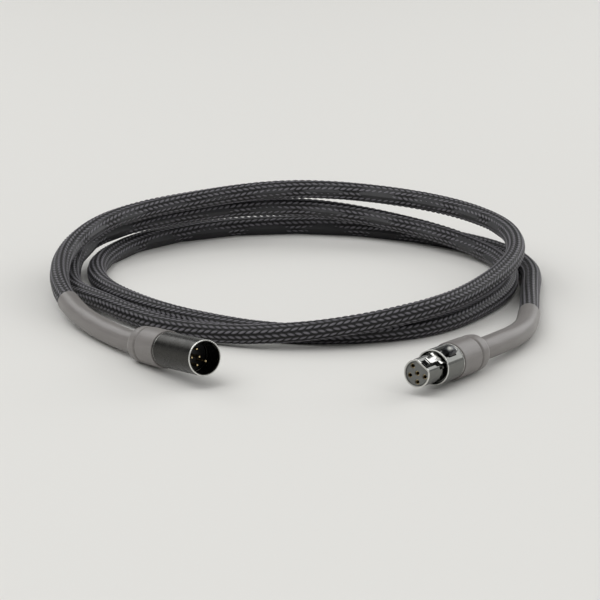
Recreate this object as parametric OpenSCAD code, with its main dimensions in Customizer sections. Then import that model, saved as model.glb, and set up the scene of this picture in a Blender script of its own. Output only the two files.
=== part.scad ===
// Coiled signal lead: a braided five core cable wound in loose turns, with a
// five pin miniature male plug on one end and a latching five way miniature
// female plug on the other. Millimetres, Z up, standing on Z = 0, front at -Y.
//
// Each plug is drawn in its own frame: +Z points out of its mouth, Z = 0 is its
// front face, and depths behind the face are negative Z. Angles round a plug
// are clockwise from straight up, as seen when looking into its mouth.

/* [Cord] */
// Diameter of the cable over its braid
cord_d = 6.5; // [6.2:0.1:6.8]
// Thickness of the braid
braid_wall = 0.35; // [0.25:0.05:0.6]
// Diameter of one insulated conductor
wire_d = 0.84; // [0.7:0.02:0.9]

/* [Coil] */
// Usual distance from the middle of the coil to the cable in its turns
coil_r = 75; // [72:0.5:80]
// How far the male plug's mouth lies ahead of the coil's front
male_reach = 48.1; // [45:0.1:55]
// How far the female plug's mouth lies ahead of the coil's front
female_reach = 56.7; // [50:0.1:62]

/* [Heat shrink] */
// Thickness of the heat-shrink tube
shrink_wall = 0.2; // [0.15:0.05:0.4]
// Length of the shrunk skin over each plug's metal rear
boot_len = 11.2; // [10.8:0.1:14]
// Length over which the skin narrows from the plug to the cable
taper_len = 7.4; // [6.5:0.1:9]
// Depth of the groove at the bushing's shoulder
groove_depth = 0.35; // [0.2:0.05:0.5]

/* [Plug bodies] */
// Outer diameter of both metal shells
shell_d = 11; // [10.8:0.1:11.4]
// Wall of both metal shells
shell_wall = 0.6; // [0.55:0.05:0.7]
// Length of shell hidden under the heat-shrink
shell_tuck = 2.8; // [2:0.1:4]
// Chamfer on the shells' front edges
rim_chamfer = 0.25; // [0.1:0.05:0.3]
// Gap left between round pieces that nest
fit = 0.05; // [0.03:0.01:0.08]
// Gap left between pieces that stack end to end
seat_gap = 0.1; // [0.05:0.05:0.2]

/* [Cable clamp] */
// Wall of the split clamping collet
chuck_wall = 0.75; // [0.6:0.05:0.8]
// Length of the split clamping collet
chuck_len = 7; // [5:0.5:8]
// Width of the slots that split the collet
chuck_slot = 0.6; // [0.4:0.1:1]

/* [Male plug] */
// Length of bare shell ahead of the heat-shrink
male_shell_len = 23; // [22:0.5:26]
// Turn of the plug about the vertical, away from straight ahead
male_turn = 31; // [25:0.1:34]
// Rise of the mouth as the plug rests on its rear shoulder
male_tilt = 6.5; // [5:0.1:8]
// Depth of the insulating disc behind the face
male_disc_depth = 8.5; // [8:0.1:10]
// Thickness of the insulating disc
male_disc_t = 5; // [4:0.1:6]
// Diameter of a contact pin
pin_d = 1; // [0.9:0.05:1.1]
// Depth of the pin tips behind the face
pin_tip_depth = 3; // [2.5:0.1:4]
// Distance from the axis to the flat inside the mouth
male_flat_r = 4.7; // [4.68:0.01:4.8]
// Direction of the flat inside the mouth
male_key = 56; // [50:1:62]
// Length of the window that the solder cups are reached through
cup_window_len = 7.5; // [5:0.1:8]

/* [Female plug] */
// Length of the contact nose ahead of the outer shell
nose_len = 9.7; // [9:0.1:11]
// Diameter of the contact nose
nose_d = 8.6; // [8.5:0.05:8.7]
// Wall of the contact nose
nose_wall = 0.65; // [0.6:0.05:0.7]
// Length of bare outer shell ahead of the heat-shrink
female_shell_len = 10.3; // [10:0.1:12]
// Turn of the plug about the vertical, away from straight ahead
female_turn = -31; // [-34:0.1:-25]
// Rise of the mouth as the plug rests on its rear shoulder
female_tilt = 2.4; // [1:0.1:3.5]
// Distance from the axis to the flat outside the nose
nose_flat_r = 3.6; // [3.5:0.01:3.7]
// Direction of the flat, the latch and the button
female_key = 34; // [30:1:38]
// Outer diameter of a socket contact
socket_d = 1.4; // [1.3:0.05:1.5]
// Depth of a socket's bore behind the nose's face
socket_bore = 8; // [6:0.1:9]

/* [Contacts] */
// Radius of the circle that the outer contacts stand on
contact_ring_r = 2.62; // [2.5:0.02:2.7]
// Angle between neighbouring contacts round the circle
contact_step = 72; // [70:1:74]
// Length of a contact's solder cup
cup_len = 3; // [2.5:0.1:3.5]
// Wall of a contact's solder cup
cup_wall = 0.2; // [0.15:0.01:0.22]

/* [Latch] */
// Width of the latch strip
latch_w = 2.2; // [2:0.1:2.4]
// Thickness of the latch strip
latch_t = 0.4; // [0.3:0.05:0.45]
// Gap between the strip's rear and the level of the nose's flat
latch_stand = 0.2; // [0.1:0.05:0.25]
// How far the plate ahead of the shell is stepped up from the strip's rear
plate_rise = 0.4; // [0.3:0.05:0.45]
// Depth of the latch's front lip behind the nose's face
latch_front = 0.85; // [0.8:0.05:1.2]
// Width of the lip that is bent down at the plate's front
lip_w = 1.6; // [1.4:0.1:1.8]
// How far the hook's ramp rises above the plate
hook_h = 0.3; // [0.2:0.05:0.4]
// Length of the hook's ramp and top, behind the lip
hook_len = 1.7; // [1.5:0.1:2.5]
// Width across the plate's two side tabs
tab_w = 4.7; // [4.2:0.1:4.8]
// Length of a side tab along the plug
tab_len = 2; // [1.4:0.1:2.2]
// Swing of the latch when its button is pressed home, in degrees
latch_swing = 5; // [3:0.5:5]

/* [Button] */
// Width of the thumb button
button_w = 3.4; // [3:0.1:3.6]
// Length of the thumb button along the plug
button_len = 4.3; // [4:0.1:4.4]
// How far the button stands proud of the shell
button_proud = 1.9; // [1.5:0.1:2.2]
// Gap between the button and its window
button_gap = 0.15; // [0.1:0.05:0.2]

/* [Set screw] */
// Diameter of the set screw
screw_d = 1.5; // [1.3:0.1:1.6]
// Width of the screwdriver slot
screw_slot = 0.35; // [0.25:0.05:0.4]

/* [Hidden] */

FINE = 64;
CORD_SIDES = 6;
SKIN_SIDES = 24;
WIRE_SIDES = 6;
EPS = 0.01;

cord_r = cord_d / 2;
core_r = cord_r - braid_wall - fit;
shell_r = shell_d / 2;
shell_ri = shell_r - shell_wall;
sleeve_ri = cord_r + 2 * fit;
cup_d = wire_d + 2 * fit + 2 * cup_wall;

// Depths along the plugs
male_face_to_boot = male_shell_len;
female_face_to_boot = nose_len + female_shell_len;
spigot_front = 0.5;          // how far the bushing's spigot starts ahead of the boot
core_start = 1;              // depth of the cable core's front end behind the boot's edge
braid_start = 2;             // depth of the braid's front end behind the boot's edge
chuck_start = 1.6;           // depth of the collet's front end behind the boot's edge
shoulder_power = 1.4;        // shape of the rounded shoulder

// Rest places of the two plugs: each lies on its heat-shrink shoulder
boot_r = shell_r + 3 * fit + shrink_wall;
coil_x = 0;
coil_y = 23.1;
coil_front = coil_y - coil_r;
male_face = [-27.3, coil_front - male_reach, rest_height(male_tilt, male_face_to_boot)];
female_face = [35.4, coil_front - female_reach, rest_height(female_tilt, female_face_to_boot)];

// The cord's lay. The turns run clockwise, seen from above, from the left side.
// Each value is chosen for one twelfth of a turn: how much further than coil_r
// the cord's centreline is from the middle of the coil, and how high it is lifted.
STATIONS = 12;
RINGS_PER_TURN = 24;
TURN_OFFSETS = [
    2.5, 0, -2.5, -0.5, 2, 1, -3, -5, 0.5, 1.5, -2, -5,
    -0.5, 4.5, 3, 2, 0.5, -0.5, -5, -6.5, -2.5, -6.5, -14, -16,
    -10, -1, 7.5, 9.5, 7, 6.5, 2.5,
];
floor_h = cord_r - cord_d / 10;      // centreline height where the cord lies flat
TURN_LIFTS = [
    7.2, 12, 14, 15.4, 13.8, 12.4, 11.2, 8.6, 6.8, 3, 0.2, 1.6,
    0, 5.8, 8, 8.4, 4.8, 1.4, 0.2, 0, 0, 0, 0, 0,
    0, 0, 0, 0, 0, 0, 0.3,
];
// Pull of the cord's stiffness: behind the male plug, into the first turn, out
// of the last turn, and into the female plug
male_pull = [105, 85];
female_pull = [180, 100];
LEVELLING = [1, 1, 0.3];     // the tilted male plug's cable levels out on the ground
LEAD_STEPS = 5;
male_sleeve_steps = 3;       // steps of the male lead that the heat-shrink covers
female_sleeve_steps = 4;     // steps of the female lead that the heat-shrink covers
straight_end = cord_d + 0.5; // the cord's ends leave their plugs straight for this

function unit(v) = v / norm(v);
function levelled(v) = [for (i = [0:2]) v[i] * LEVELLING[i]];
function hermite(a, ta, b, tb, t) =
    (2 * t^3 - 3 * t^2 + 1) * a + (t^3 - 2 * t^2 + t) * ta
    + (3 * t^2 - 2 * t^3) * b + (t^3 - t^2) * tb;
// A smooth curve through the values of a list, at any place u between them
function through(v, u) =
    let (last = len(v) - 1, i = min(floor(u), last - 1),
         before = i == 0 ? v[1] - v[0] : (v[i + 1] - v[i - 1]) / 2,
         after = i == last - 1 ? v[last] - v[last - 1] : (v[i + 2] - v[i]) / 2)
    hermite(v[i], before, v[i + 1], after, u - i);
function turn_point(u) =
    let (a = 180 - 360 / STATIONS * u, r = coil_r + through(TURN_OFFSETS, u))
    [coil_x + r * cos(a), coil_y + r * sin(a), floor_h + through(TURN_LIFTS, u)];

// The way out of a plug's mouth, and the point at a depth behind its face
function mouth_dir(turn, tilt) = [sin(turn) * cos(tilt), -cos(turn) * cos(tilt), sin(tilt)];
function rest_height(tilt, face_to_boot) =
    boot_r * cos(tilt) + (face_to_boot + boot_len) * sin(tilt);
male_out = mouth_dir(male_turn, male_tilt);
female_out = mouth_dir(female_turn, female_tilt);
function male_at(depth) = male_face - depth * male_out;
function female_at(depth) = female_face - depth * female_out;

male_exit = male_face_to_boot + boot_len + taper_len;
female_exit = female_face_to_boot + boot_len + taper_len;
LAST = len(TURN_OFFSETS) - 1;
away_start = unit(turn_point(EPS) - turn_point(0));
away_end = unit(turn_point(LAST) - turn_point(LAST - EPS));
male_lead = [for (i = [1:LEAD_STEPS - 1])
    hermite(male_at(male_exit + straight_end), -male_pull[0] * levelled(male_out),
            turn_point(0), male_pull[1] * away_start, i / LEAD_STEPS)];
female_lead = [for (i = [1:LEAD_STEPS - 1])
    hermite(turn_point(LAST), female_pull[0] * away_end,
            female_at(female_exit + straight_end), female_pull[1] * female_out, i / LEAD_STEPS)];
turns = [for (i = [0:LAST * RINGS_PER_TURN / STATIONS]) turn_point(i * STATIONS / RINGS_PER_TURN)];

function cord_path(front) = concat(
    [male_at(male_face_to_boot + front), male_at(male_exit), male_at(male_exit + straight_end)],
    male_lead, turns, female_lead,
    [female_at(female_exit + straight_end), female_at(female_exit),
     female_at(female_face_to_boot + front)]);

// Cross-sections along a path: the direction at each point, and its ring
function heading(path, i) = unit(path[min(i + 1, len(path) - 1)] - path[max(i - 1, 0)]);
function ring(path, i, r, sides, lowest, upright = [0, 0, 1]) =
    let (t = heading(path, i), across = unit(cross(t, upright)), up = cross(across, t))
    [for (k = [0:sides - 1])
        let (p = path[i] + r * (cos(360 * k / sides) * across + sin(360 * k / sides) * up))
        [p.x, p.y, max(p.z, lowest)]];
function wall_faces(from, rings, sides, flip) = [
    for (i = [0:rings - 2], k = [0:sides - 1])
        let (a = from + i * sides + k, b = from + i * sides + (k + 1) % sides,
             c = a + sides, d = b + sides)
        each flip ? [[a, c, b], [b, c, d]] : [[a, b, c], [b, d, c]]];

// A solid rod along a path
module rod(path, r, sides, lowest = -1000, upright = [0, 0, 1]) {
    n = len(path);
    points = [for (i = [0:n - 1]) each ring(path, i, r, sides, lowest, upright)];
    polyhedron(points, concat(
        wall_faces(0, n, sides, false),
        [for (k = [1:sides - 2]) [0, k + 1, k]],
        [for (k = [1:sides - 2]) let (e = (n - 1) * sides) [e, e + k, e + k + 1]]));
}

// A tube along a path, with an outer and an inner radius at each point
module skin(path, outer, inner, sides, lowest = -1000) {
    n = len(path);
    points = concat(
        [for (i = [0:n - 1]) each ring(path, i, outer[i], sides, lowest)],
        [for (i = [0:n - 1]) each ring(path, i, inner[i], sides, lowest + EPS)]);
    m = n * sides;
    e = (n - 1) * sides;
    polyhedron(points, concat(
        wall_faces(0, n, sides, false),
        wall_faces(m, n, sides, true),
        [for (k = [0:sides - 1]) let (j = (k + 1) % sides) each [[k, m + k, j], [j, m + k, m + j]]],
        [for (k = [0:sides - 1]) let (j = (k + 1) % sides)
            each [[e + k, e + j, m + e + k], [e + j, m + e + j, m + e + k]]]));
}

// A ring turned about a plug's axis from a list of [radius, depth]
module turned(profile) {
    rotate_extrude($fn = FINE) polygon([for (p = profile) [p.x, -p.y]]);
}
module turned_ring(front, back, outer, inner) {
    turned([[inner, front], [outer, front], [outer, back], [inner, back]]);
}
// A bar along a plug's axis at a direction, between two depths and two heights
module keyed_bar(direction, w, front, back, low, high) {
    rotate([0, 0, -direction]) translate([-w / 2, low, -back]) cube([w, high - low, back - front]);
}
module at_male() {
    translate(male_face) rotate([90 - male_tilt, 0, male_turn]) children();
}
module at_female() {
    translate(female_face) rotate([90 - female_tilt, 0, female_turn]) children();
}

// ---- Cable -------------------------------------------------------------
function gap_to_itself(path, r) = min([
    for (i = [0:2:len(path) - 1], j = [i + 3:1:len(path) - 1])
        norm(path[i] - path[j]) - 2 * r]);

module cable_braid() {
    path = cord_path(braid_start);
    n = len(path);
    echo(least_gap_between_turns = gap_to_itself(cord_path(braid_start), cord_r));
    color("#4a484e") skin(path, [for (i = [1:n]) cord_r], [for (i = [1:n]) cord_r - braid_wall],
                          CORD_SIDES, 0);
}

module cable_core() {
    color("#26262a") rod(cord_path(core_start), core_r, CORD_SIDES, 3 * EPS);
}

// ---- Contacts ----------------------------------------------------------
// Places of the five contacts: one in the middle and four round it, with the
// key's direction left free
function contact_places(key) = concat([[0, 0]],
    [for (i = [1:4]) let (a = key + i * contact_step)
        contact_ring_r * [sin(a), cos(a)]]);

module solder_cup(depth) {
    difference() {
        translate([0, 0, -depth - cup_len]) cylinder(h = cup_len, d = cup_d, $fn = 24);
        translate([0, 0, -depth - cup_len - EPS])
            cylinder(h = cup_len - cup_wall, d = wire_d + 2 * fit, $fn = 24);
    }
}

// Wires from the solder cups to the front face of the cable core
module wires(key, cups_back, core_front) {
    in_core = core_r * 0.5;
    for (p = contact_places(key)) {
        q = norm(p) > 0 ? in_core * unit(p) : p;
        into_cup = [p.x, p.y, -cups_back + cup_len - 2 * cup_wall];
        from_cup = [p.x, p.y, -cups_back - 0.3];
        to_core = [q.x, q.y, -core_front + 0.8];
        run = from_cup.z - to_core.z;
        rod(concat([into_cup],
                   [for (t = [0:0.2:1])
                       hermite(from_cup, [0, 0, -run], to_core, [0, 0, -run], t)],
                   [[q.x, q.y, -core_front]]), wire_d / 2, WIRE_SIDES, upright = [0, 1, 0]);
    }
}

// ---- Rear hardware, alike on both plugs ----------------------------------
function shoulder_r(u, from_r, to_r) =
    to_r + (from_r - to_r) * (1 + cos(180 * u^shoulder_power)) / 2;
// Outline of the bushing behind a boot's front edge, as [radius, depth]
function bushing_outline(start) = concat(
    [[shell_r, start + shell_tuck + seat_gap], [shell_r, start + boot_len - groove_depth],
     [shell_r - groove_depth, start + boot_len],
     [shell_r - groove_depth, start + boot_len + groove_depth]],
    [for (u = [0:0.2:0.8])
        [shoulder_r(u, shell_r - groove_depth / 2, cord_r + 3 * fit + chuck_wall / 4),
         start + boot_len + 2 * groove_depth + u * (taper_len - 3 * groove_depth)]]);

module bushing(start) {
    chuck_r = cord_r + 2 * fit + chuck_wall;
    chuck_back = start + chuck_start + chuck_len;
    outline = bushing_outline(start);
    turned(concat(
        [[chuck_r + fit, start - spigot_front], [shell_ri - fit, start - spigot_front],
         [shell_ri - fit, start + shell_tuck + seat_gap]],
        outline,
        [[cord_r + fit, outline[len(outline) - 1].y],
         [cord_r + fit, chuck_back + chuck_wall + seat_gap],
         [chuck_r + fit, chuck_back + seat_gap]]));
}

module chuck(start) {
    inner = cord_r + fit;
    outer = cord_r + 2 * fit + chuck_wall;
    front = start + chuck_start;
    difference() {
        turned([[inner, front], [outer, front], [outer, front + chuck_len],
                [inner + chuck_wall / 3, front + chuck_len + chuck_wall * 2 / 3],
                [inner, front + chuck_len + chuck_wall * 2 / 3]]);
        for (a = [0, 90])
            rotate([0, 0, a]) translate([-outer - 1, -chuck_slot / 2, -front - chuck_len - 2])
                cube([2 * outer + 2, chuck_slot, chuck_len * 0.75 + 2]);
    }
}

// Heat-shrink over a plug's rear and the first stretch of cable. The cord's
// own points carry it on behind the plug.
function boot_depths(start) = concat([start],
    [for (p = bushing_outline(start)) if (p.y > start + shell_tuck + 1) p.y]);
function boot_inner(start) = concat([shell_r],
    [for (p = bushing_outline(start)) if (p.y > start + shell_tuck + 1) p.x]);
function boot_clear(r) = (r + fit) / cos(180 / SKIN_SIDES);

module heat_shrink(boot_points, boot_radii, cord_points) {
    path = concat(boot_points, cord_points);
    inner = concat([for (r = boot_radii) boot_clear(r)], [for (p = cord_points) sleeve_ri]);
    skin(path, [for (r = inner) r + shrink_wall], inner, SKIN_SIDES, 0);
}

// ---- Male plug -----------------------------------------------------------
// A mated nose's face meets the disc, so a depth behind one mouth is counted
// forward from the disc in the other
hook_front = latch_front + latch_t / 2;
hook_back = hook_front + hook_len;
groove_front = male_disc_depth - hook_back - 2 * seat_gap;
groove_back = male_disc_depth - hook_front + 2 * seat_gap;

module male_shell() {
    color("#3c3c3a") at_male() difference() {
        union() {
            turned([[shell_ri + rim_chamfer, 0], [shell_r - rim_chamfer, 0], [shell_r, rim_chamfer],
                    [shell_r, male_face_to_boot + shell_tuck],
                    [shell_ri, male_face_to_boot + shell_tuck],
                    [shell_ri, rim_chamfer]]);
            // the flat that keys the mouth
            translate([0, 0, -male_disc_depth + seat_gap]) rotate([0, 0, -male_key])
                linear_extrude(male_disc_depth - seat_gap - 2 * rim_chamfer) intersection() {
                    circle(r = shell_ri + shell_wall / 2, $fn = FINE);
                    translate([-shell_r, male_flat_r]) square([shell_d, shell_r]);
                }
        }
        // the groove that a mating latch hooks into
        turned_ring(groove_front, groove_back, shell_ri + shell_wall / 2, male_flat_r - shell_wall);
    }
}

module male_insert() {
    disc_back = male_disc_depth + male_disc_t;
    skirt_back = male_face_to_boot - spigot_front - seat_gap;
    r = shell_ri - fit;
    cup_window_w = 2 * contact_ring_r + cup_wall;
    color("#141414") at_male() difference() {
        turned([[0, male_disc_depth], [r, male_disc_depth], [r, skirt_back],
                [r - 0.6, skirt_back], [r - 0.6, disc_back], [0, disc_back]]);
        for (p = contact_places(male_key))
            translate([p.x, p.y, -disc_back - 1]) cylinder(h = male_disc_t + 2, d = pin_d + 2 * fit, $fn = 24);
        // window that the solder cups are reached through
        keyed_bar(male_key + 180, cup_window_w, skirt_back - 1 - cup_window_len, skirt_back - 1,
                  cup_window_w / 2, r + 1);
    }
}

module male_pins() {
    disc_back = male_disc_depth + male_disc_t;
    color("#c9a24a") at_male() for (p = contact_places(male_key)) translate([p.x, p.y, 0]) {
        translate([0, 0, -disc_back - seat_gap]) cylinder(
            h = disc_back + seat_gap - pin_tip_depth - pin_d / 2, d = pin_d, $fn = 24);
        translate([0, 0, -pin_tip_depth - pin_d / 2]) sphere(d = pin_d, $fn = 24);
        solder_cup(disc_back + seat_gap / 2);
    }
}

module male_wires() {
    cups_back = male_disc_depth + male_disc_t + seat_gap / 2 + cup_len;
    color("#b03a2e") at_male() wires(male_key, cups_back, male_face_to_boot + core_start - EPS);
}

module male_chuck() {
    color("#9a9a96") at_male() chuck(male_face_to_boot);
}

module male_bushing() {
    color("#55554f") at_male() bushing(male_face_to_boot);
}

module male_heat_shrink() {
    color("#807c7a") heat_shrink(
        [for (s = boot_depths(male_face_to_boot)) male_at(s)], boot_inner(male_face_to_boot),
        concat([male_at(male_exit), male_at(male_exit + straight_end)],
               [for (i = [0:male_sleeve_steps - 1]) male_lead[i]]));
}

// ---- Female plug ---------------------------------------------------------
nose_r = nose_d / 2;
nose_ri = nose_r - nose_wall;
nose_flat_ri = nose_flat_r - nose_wall;
nose_back = female_face_to_boot - spigot_front - 3 * seat_gap;
front_flange = nose_len + 1.4;
flange_t = 0.6;
rear_flange = nose_back - 2;
insert_back = front_flange + flange_t;
cups_front = insert_back + 0.5;

// The latch: a strip that swings about its rear end, in a slot through the nose
pivot_depth = nose_back;
latch_low = nose_flat_r + latch_stand;
latch_high = latch_low + latch_t;
plate_low = latch_low + plate_rise;
plate_high = plate_low + latch_t;
lip_low = nose_flat_r + seat_gap;
step_back = nose_len - 3 * seat_gap;
step_front = step_back - plate_rise - seat_gap;
tab_back = step_front - seat_gap;
tab_front = tab_back - tab_len;
tab_low = latch_low + plate_rise / 2;
swing_room = 0.15;           // gap that stays under the latch when it is pressed home
slot_room = 0.2;             // gap on each side of the latch
function drop(depth) = (pivot_depth - depth) * sin(latch_swing);
// The button: pushes on the strip by a rib under its middle
button_behind_flange = 2.4;
button_mid = front_flange + flange_t + button_behind_flange;
button_travel = (pivot_depth - button_mid) * sin(latch_swing);
button_low = latch_high + 0.08;
window_w = button_w + 2 * button_gap;
window_len = button_len + 2 * button_gap;
screw_depth = nose_back - 1;

module latch_room() {
    front = latch_front - swing_room;
    keyed_bar(female_key, latch_w + 2 * slot_room, front, nose_back + 1,
              plate_low - drop(hook_front) - swing_room, shell_r);
    keyed_bar(female_key, lip_w + 2 * slot_room, front, latch_front + latch_t + swing_room,
              lip_low - drop(latch_front) - swing_room, shell_r);
    keyed_bar(female_key, tab_w + 2 * slot_room, tab_front - slot_room, tab_back + slot_room,
              tab_low - drop(tab_front) - swing_room, shell_r);
}

module female_shell() {
    back = female_face_to_boot + shell_tuck;
    color("#5b5d5c") at_female() difference() {
        turned([[shell_ri + rim_chamfer, nose_len], [shell_r - rim_chamfer, nose_len],
                [shell_r, nose_len + rim_chamfer], [shell_r, back], [shell_ri, back],
                [shell_ri, nose_len + rim_chamfer]]);
        // window for the button, and the hole for the set screw
        keyed_bar(female_key, window_w, button_mid - window_len / 2, button_mid + window_len / 2,
                  0, shell_r + 1);
        rotate([0, 0, -female_key]) translate([0, 0, -screw_depth]) rotate([-90, 0, 0])
            cylinder(h = shell_r + 1, d = screw_d + 2 * fit, $fn = 32);
    }
}

module female_nose() {
    r_flange = shell_ri - fit;
    color("#8a8c8a") at_female() difference() {
        turned([[0, 0], [nose_r - rim_chamfer, 0], [nose_r, rim_chamfer],
                [nose_r, front_flange], [r_flange, front_flange],
                [r_flange, front_flange + flange_t], [nose_r, front_flange + flange_t],
                [nose_r, rear_flange], [r_flange, rear_flange], [r_flange, nose_back],
                [0, nose_back]]);
        // the bore, whose front follows the flat so that the wall keeps its thickness
        intersection() {
            turned_ring(-1, insert_back, nose_ri, 0);
            keyed_bar(female_key, shell_d, -2, insert_back + 1, -shell_r, nose_flat_ri);
        }
        turned_ring(insert_back, nose_back + 1, nose_ri, 0);
        // the flat that keys the nose
        keyed_bar(female_key, shell_d, -1, front_flange - 0.4, nose_flat_r, shell_r + 1);
        latch_room();
    }
}

module female_insert() {
    r = nose_ri - fit;
    color("#6f6f6c") at_female() difference() {
        turned([[0, 0.3], [r, 0.3], [r, insert_back], [0, insert_back]]);
        keyed_bar(female_key, shell_d, 0, insert_back + 1, nose_flat_ri - fit, shell_r);
        latch_room();
        for (p = contact_places(female_key))
            translate([p.x, p.y, -insert_back - 1])
                cylinder(h = insert_back + 2, d = socket_d + 2 * fit, $fn = 24);
    }
}

module female_sockets() {
    color("#c9a24a") at_female() for (p = contact_places(female_key)) translate([p.x, p.y, 0]) {
        difference() {
            translate([0, 0, -cups_front - seat_gap])
                cylinder(h = cups_front + seat_gap - 0.8, d = socket_d, $fn = 24);
            translate([0, 0, -socket_bore]) cylinder(h = socket_bore, d = pin_d + 2 * fit, $fn = 24);
        }
        solder_cup(cups_front);
    }
}

module female_wires() {
    color("#b03a2e") at_female()
        wires(female_key, cups_front + cup_len, female_face_to_boot + core_start - EPS);
}

// A side view, as [depth, height], made as wide as a part of the latch
module latch_slice(w, side_view) {
    rotate([0, 0, -female_key]) translate([-w / 2, 0, 0]) rotate([0, 90, 0])
        linear_extrude(w) polygon(side_view);
}

module latch_lever() {
    back = pivot_depth - seat_gap;
    color("#c8c8c4") at_female() {
        // the strip, its step up to the plate, and the hook's ramp on the plate
        latch_slice(latch_w, [
            [back, latch_low], [back, latch_high], [step_back, latch_high],
            [step_front, plate_high], [hook_back, plate_high], [hook_back, plate_high + hook_h],
            [hook_back - hook_h, plate_high + hook_h], [hook_front + seat_gap, plate_high],
            [hook_front, plate_high - seat_gap], [hook_front, plate_low],
            [step_front, plate_low], [step_back, latch_low]]);
        // the lip bent down at the front
        latch_slice(lip_w, [
            [latch_front, lip_low], [latch_front, plate_high - 2 * seat_gap],
            [hook_front + EPS, plate_high - seat_gap], [latch_front + latch_t, plate_low + EPS],
            [latch_front + latch_t, lip_low]]);
        keyed_bar(female_key, tab_w, tab_front, tab_back, tab_low, tab_low + latch_t);
    }
}

module latch_button() {
    top = shell_r + button_proud;
    front = button_mid - button_len / 2;
    back = button_mid + button_len / 2;
    lip = 0.35;
    // behind the rib the strip gives way less than the button moves
    body_low = button_low + seat_gap + (button_len / 2 + lip) * sin(latch_swing);
    color("#b4b6b6") at_female() {
        intersection() {
            keyed_bar(female_key, button_w, front, back, body_low, top);
            // crowned along the plug and across it
            rotate([0, 0, -female_key]) translate([-button_w, 0, -button_mid]) rotate([0, 90, 0])
                translate([0, top - button_len * 0.75, 0])
                    cylinder(h = 2 * button_w, r = button_len * 0.75, $fn = FINE);
            rotate([0, 0, -female_key]) translate([0, top - button_w * 1.1, -back - 1])
                cylinder(h = button_len + 2, r = button_w * 1.1, $fn = FINE);
        }
        // rib that bears on the strip, and lips that keep the button in its window
        keyed_bar(female_key, latch_w, button_mid - 0.5, button_mid, button_low, body_low + 0.2);
        keyed_bar(female_key, 2, front - lip, back + lip, body_low, body_low + 0.17);
    }
}

module female_set_screw() {
    low = latch_high + 0.1;
    high = shell_r - 0.05;
    color("#9c9c98") at_female() rotate([0, 0, -female_key])
        translate([0, 0, -screw_depth]) rotate([-90, 0, 0]) difference() {
            translate([0, 0, low]) cylinder(h = high - low, d = screw_d, $fn = 32);
            translate([-screw_d, -screw_slot / 2, high - 0.4]) cube([2 * screw_d, screw_slot, 1]);
        }
}

module female_chuck() {
    color("#9a9a96") at_female() chuck(female_face_to_boot);
}

module female_bushing() {
    color("#55554f") at_female() bushing(female_face_to_boot);
}

module female_heat_shrink() {
    steps = len(female_lead);
    color("#8c8684") heat_shrink(
        [for (s = boot_depths(female_face_to_boot)) female_at(s)], boot_inner(female_face_to_boot),
        concat([female_at(female_exit), female_at(female_exit + straight_end)],
               [for (i = [1:female_sleeve_steps]) female_lead[steps - i]]));
}

cable_braid();
cable_core();
male_shell();
male_insert();
male_pins();
male_wires();
male_chuck();
male_bushing();
male_heat_shrink();
female_shell();
female_nose();
female_insert();
female_sockets();
female_wires();
latch_lever();
latch_button();
female_set_screw();
female_chuck();
female_bushing();
female_heat_shrink();
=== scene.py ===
"""Dress a coiled signal lead: woven cable, two miniature plugs and their heat-shrink.

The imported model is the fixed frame. Each class holds one sub-assembly, with its sizes
in millimetres as fields. Lengths become metres where a mesh is made.

A plug is drawn in its own frame: +Z points out of its mouth, Z = 0 is its front face,
and a depth is measured backwards from it. Angles round a plug are clockwise from
straight up, as seen when looking into its mouth.
"""

from __future__ import annotations

import logging
import math
from collections.abc import Sequence
from dataclasses import dataclass, field
from enum import Enum

import bmesh
import bpy
import numpy as np
from bpy.types import ID, Material, Mesh, Node, NodeSocket, NodeTree, Object
from mathutils import Euler, Matrix, Vector

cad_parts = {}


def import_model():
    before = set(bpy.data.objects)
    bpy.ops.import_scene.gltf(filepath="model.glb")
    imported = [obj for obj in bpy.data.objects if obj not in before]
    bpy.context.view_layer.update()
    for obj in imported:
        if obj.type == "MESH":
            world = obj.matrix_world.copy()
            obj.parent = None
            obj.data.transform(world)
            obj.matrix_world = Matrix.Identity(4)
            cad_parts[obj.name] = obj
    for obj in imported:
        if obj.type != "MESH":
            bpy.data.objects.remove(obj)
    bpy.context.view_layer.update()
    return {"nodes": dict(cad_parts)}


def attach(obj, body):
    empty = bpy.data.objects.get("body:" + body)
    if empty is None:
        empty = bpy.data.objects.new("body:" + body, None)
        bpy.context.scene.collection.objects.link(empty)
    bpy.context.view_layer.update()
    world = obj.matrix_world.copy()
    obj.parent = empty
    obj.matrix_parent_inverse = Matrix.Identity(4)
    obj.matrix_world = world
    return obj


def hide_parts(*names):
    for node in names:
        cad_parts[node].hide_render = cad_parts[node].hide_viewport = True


LOG = logging.getLogger("signal_lead")
MM = 0.001
NO_FLAT = math.inf
# The angle between faces above which an edge is drawn sharp
SHARP_DEG = 35.0
# A radius near nothing, where a turned piece closes on its axis
TIP_R = 0.001
# Sockets of the colour mix node
MIX_SHARE, MIX_FIRST, MIX_SECOND, MIX_RESULT = 0, 6, 7, 2


class Body(Enum):
    """The bodies that pieces ride on."""

    ROOT = "root"
    LATCH = "latch"
    BUTTON = "button"


class Marks(Enum):
    """The way that tool marks repeat on a metal piece."""

    ALONG_THE_PLUG = "Z"
    ACROSS_THE_STRIP = "X"


# ---- Finishes ----------------------------------------------------------------


def linear(hex_colour: str) -> tuple[float, float, float, float]:
    """Turn an sRGB hex colour into a linear one.

    Args:
        hex_colour: Six hex digits after a number sign.

    Returns:
        Linear red, green and blue, and an alpha of 1.
    """
    parts = [int(hex_colour[i : i + 2], 16) / 255 for i in (1, 3, 5)]
    r, g, b = (c / 12.92 if c <= 0.04045 else ((c + 0.055) / 1.055) ** 2.4 for c in parts)
    return r, g, b, 1.0


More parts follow.
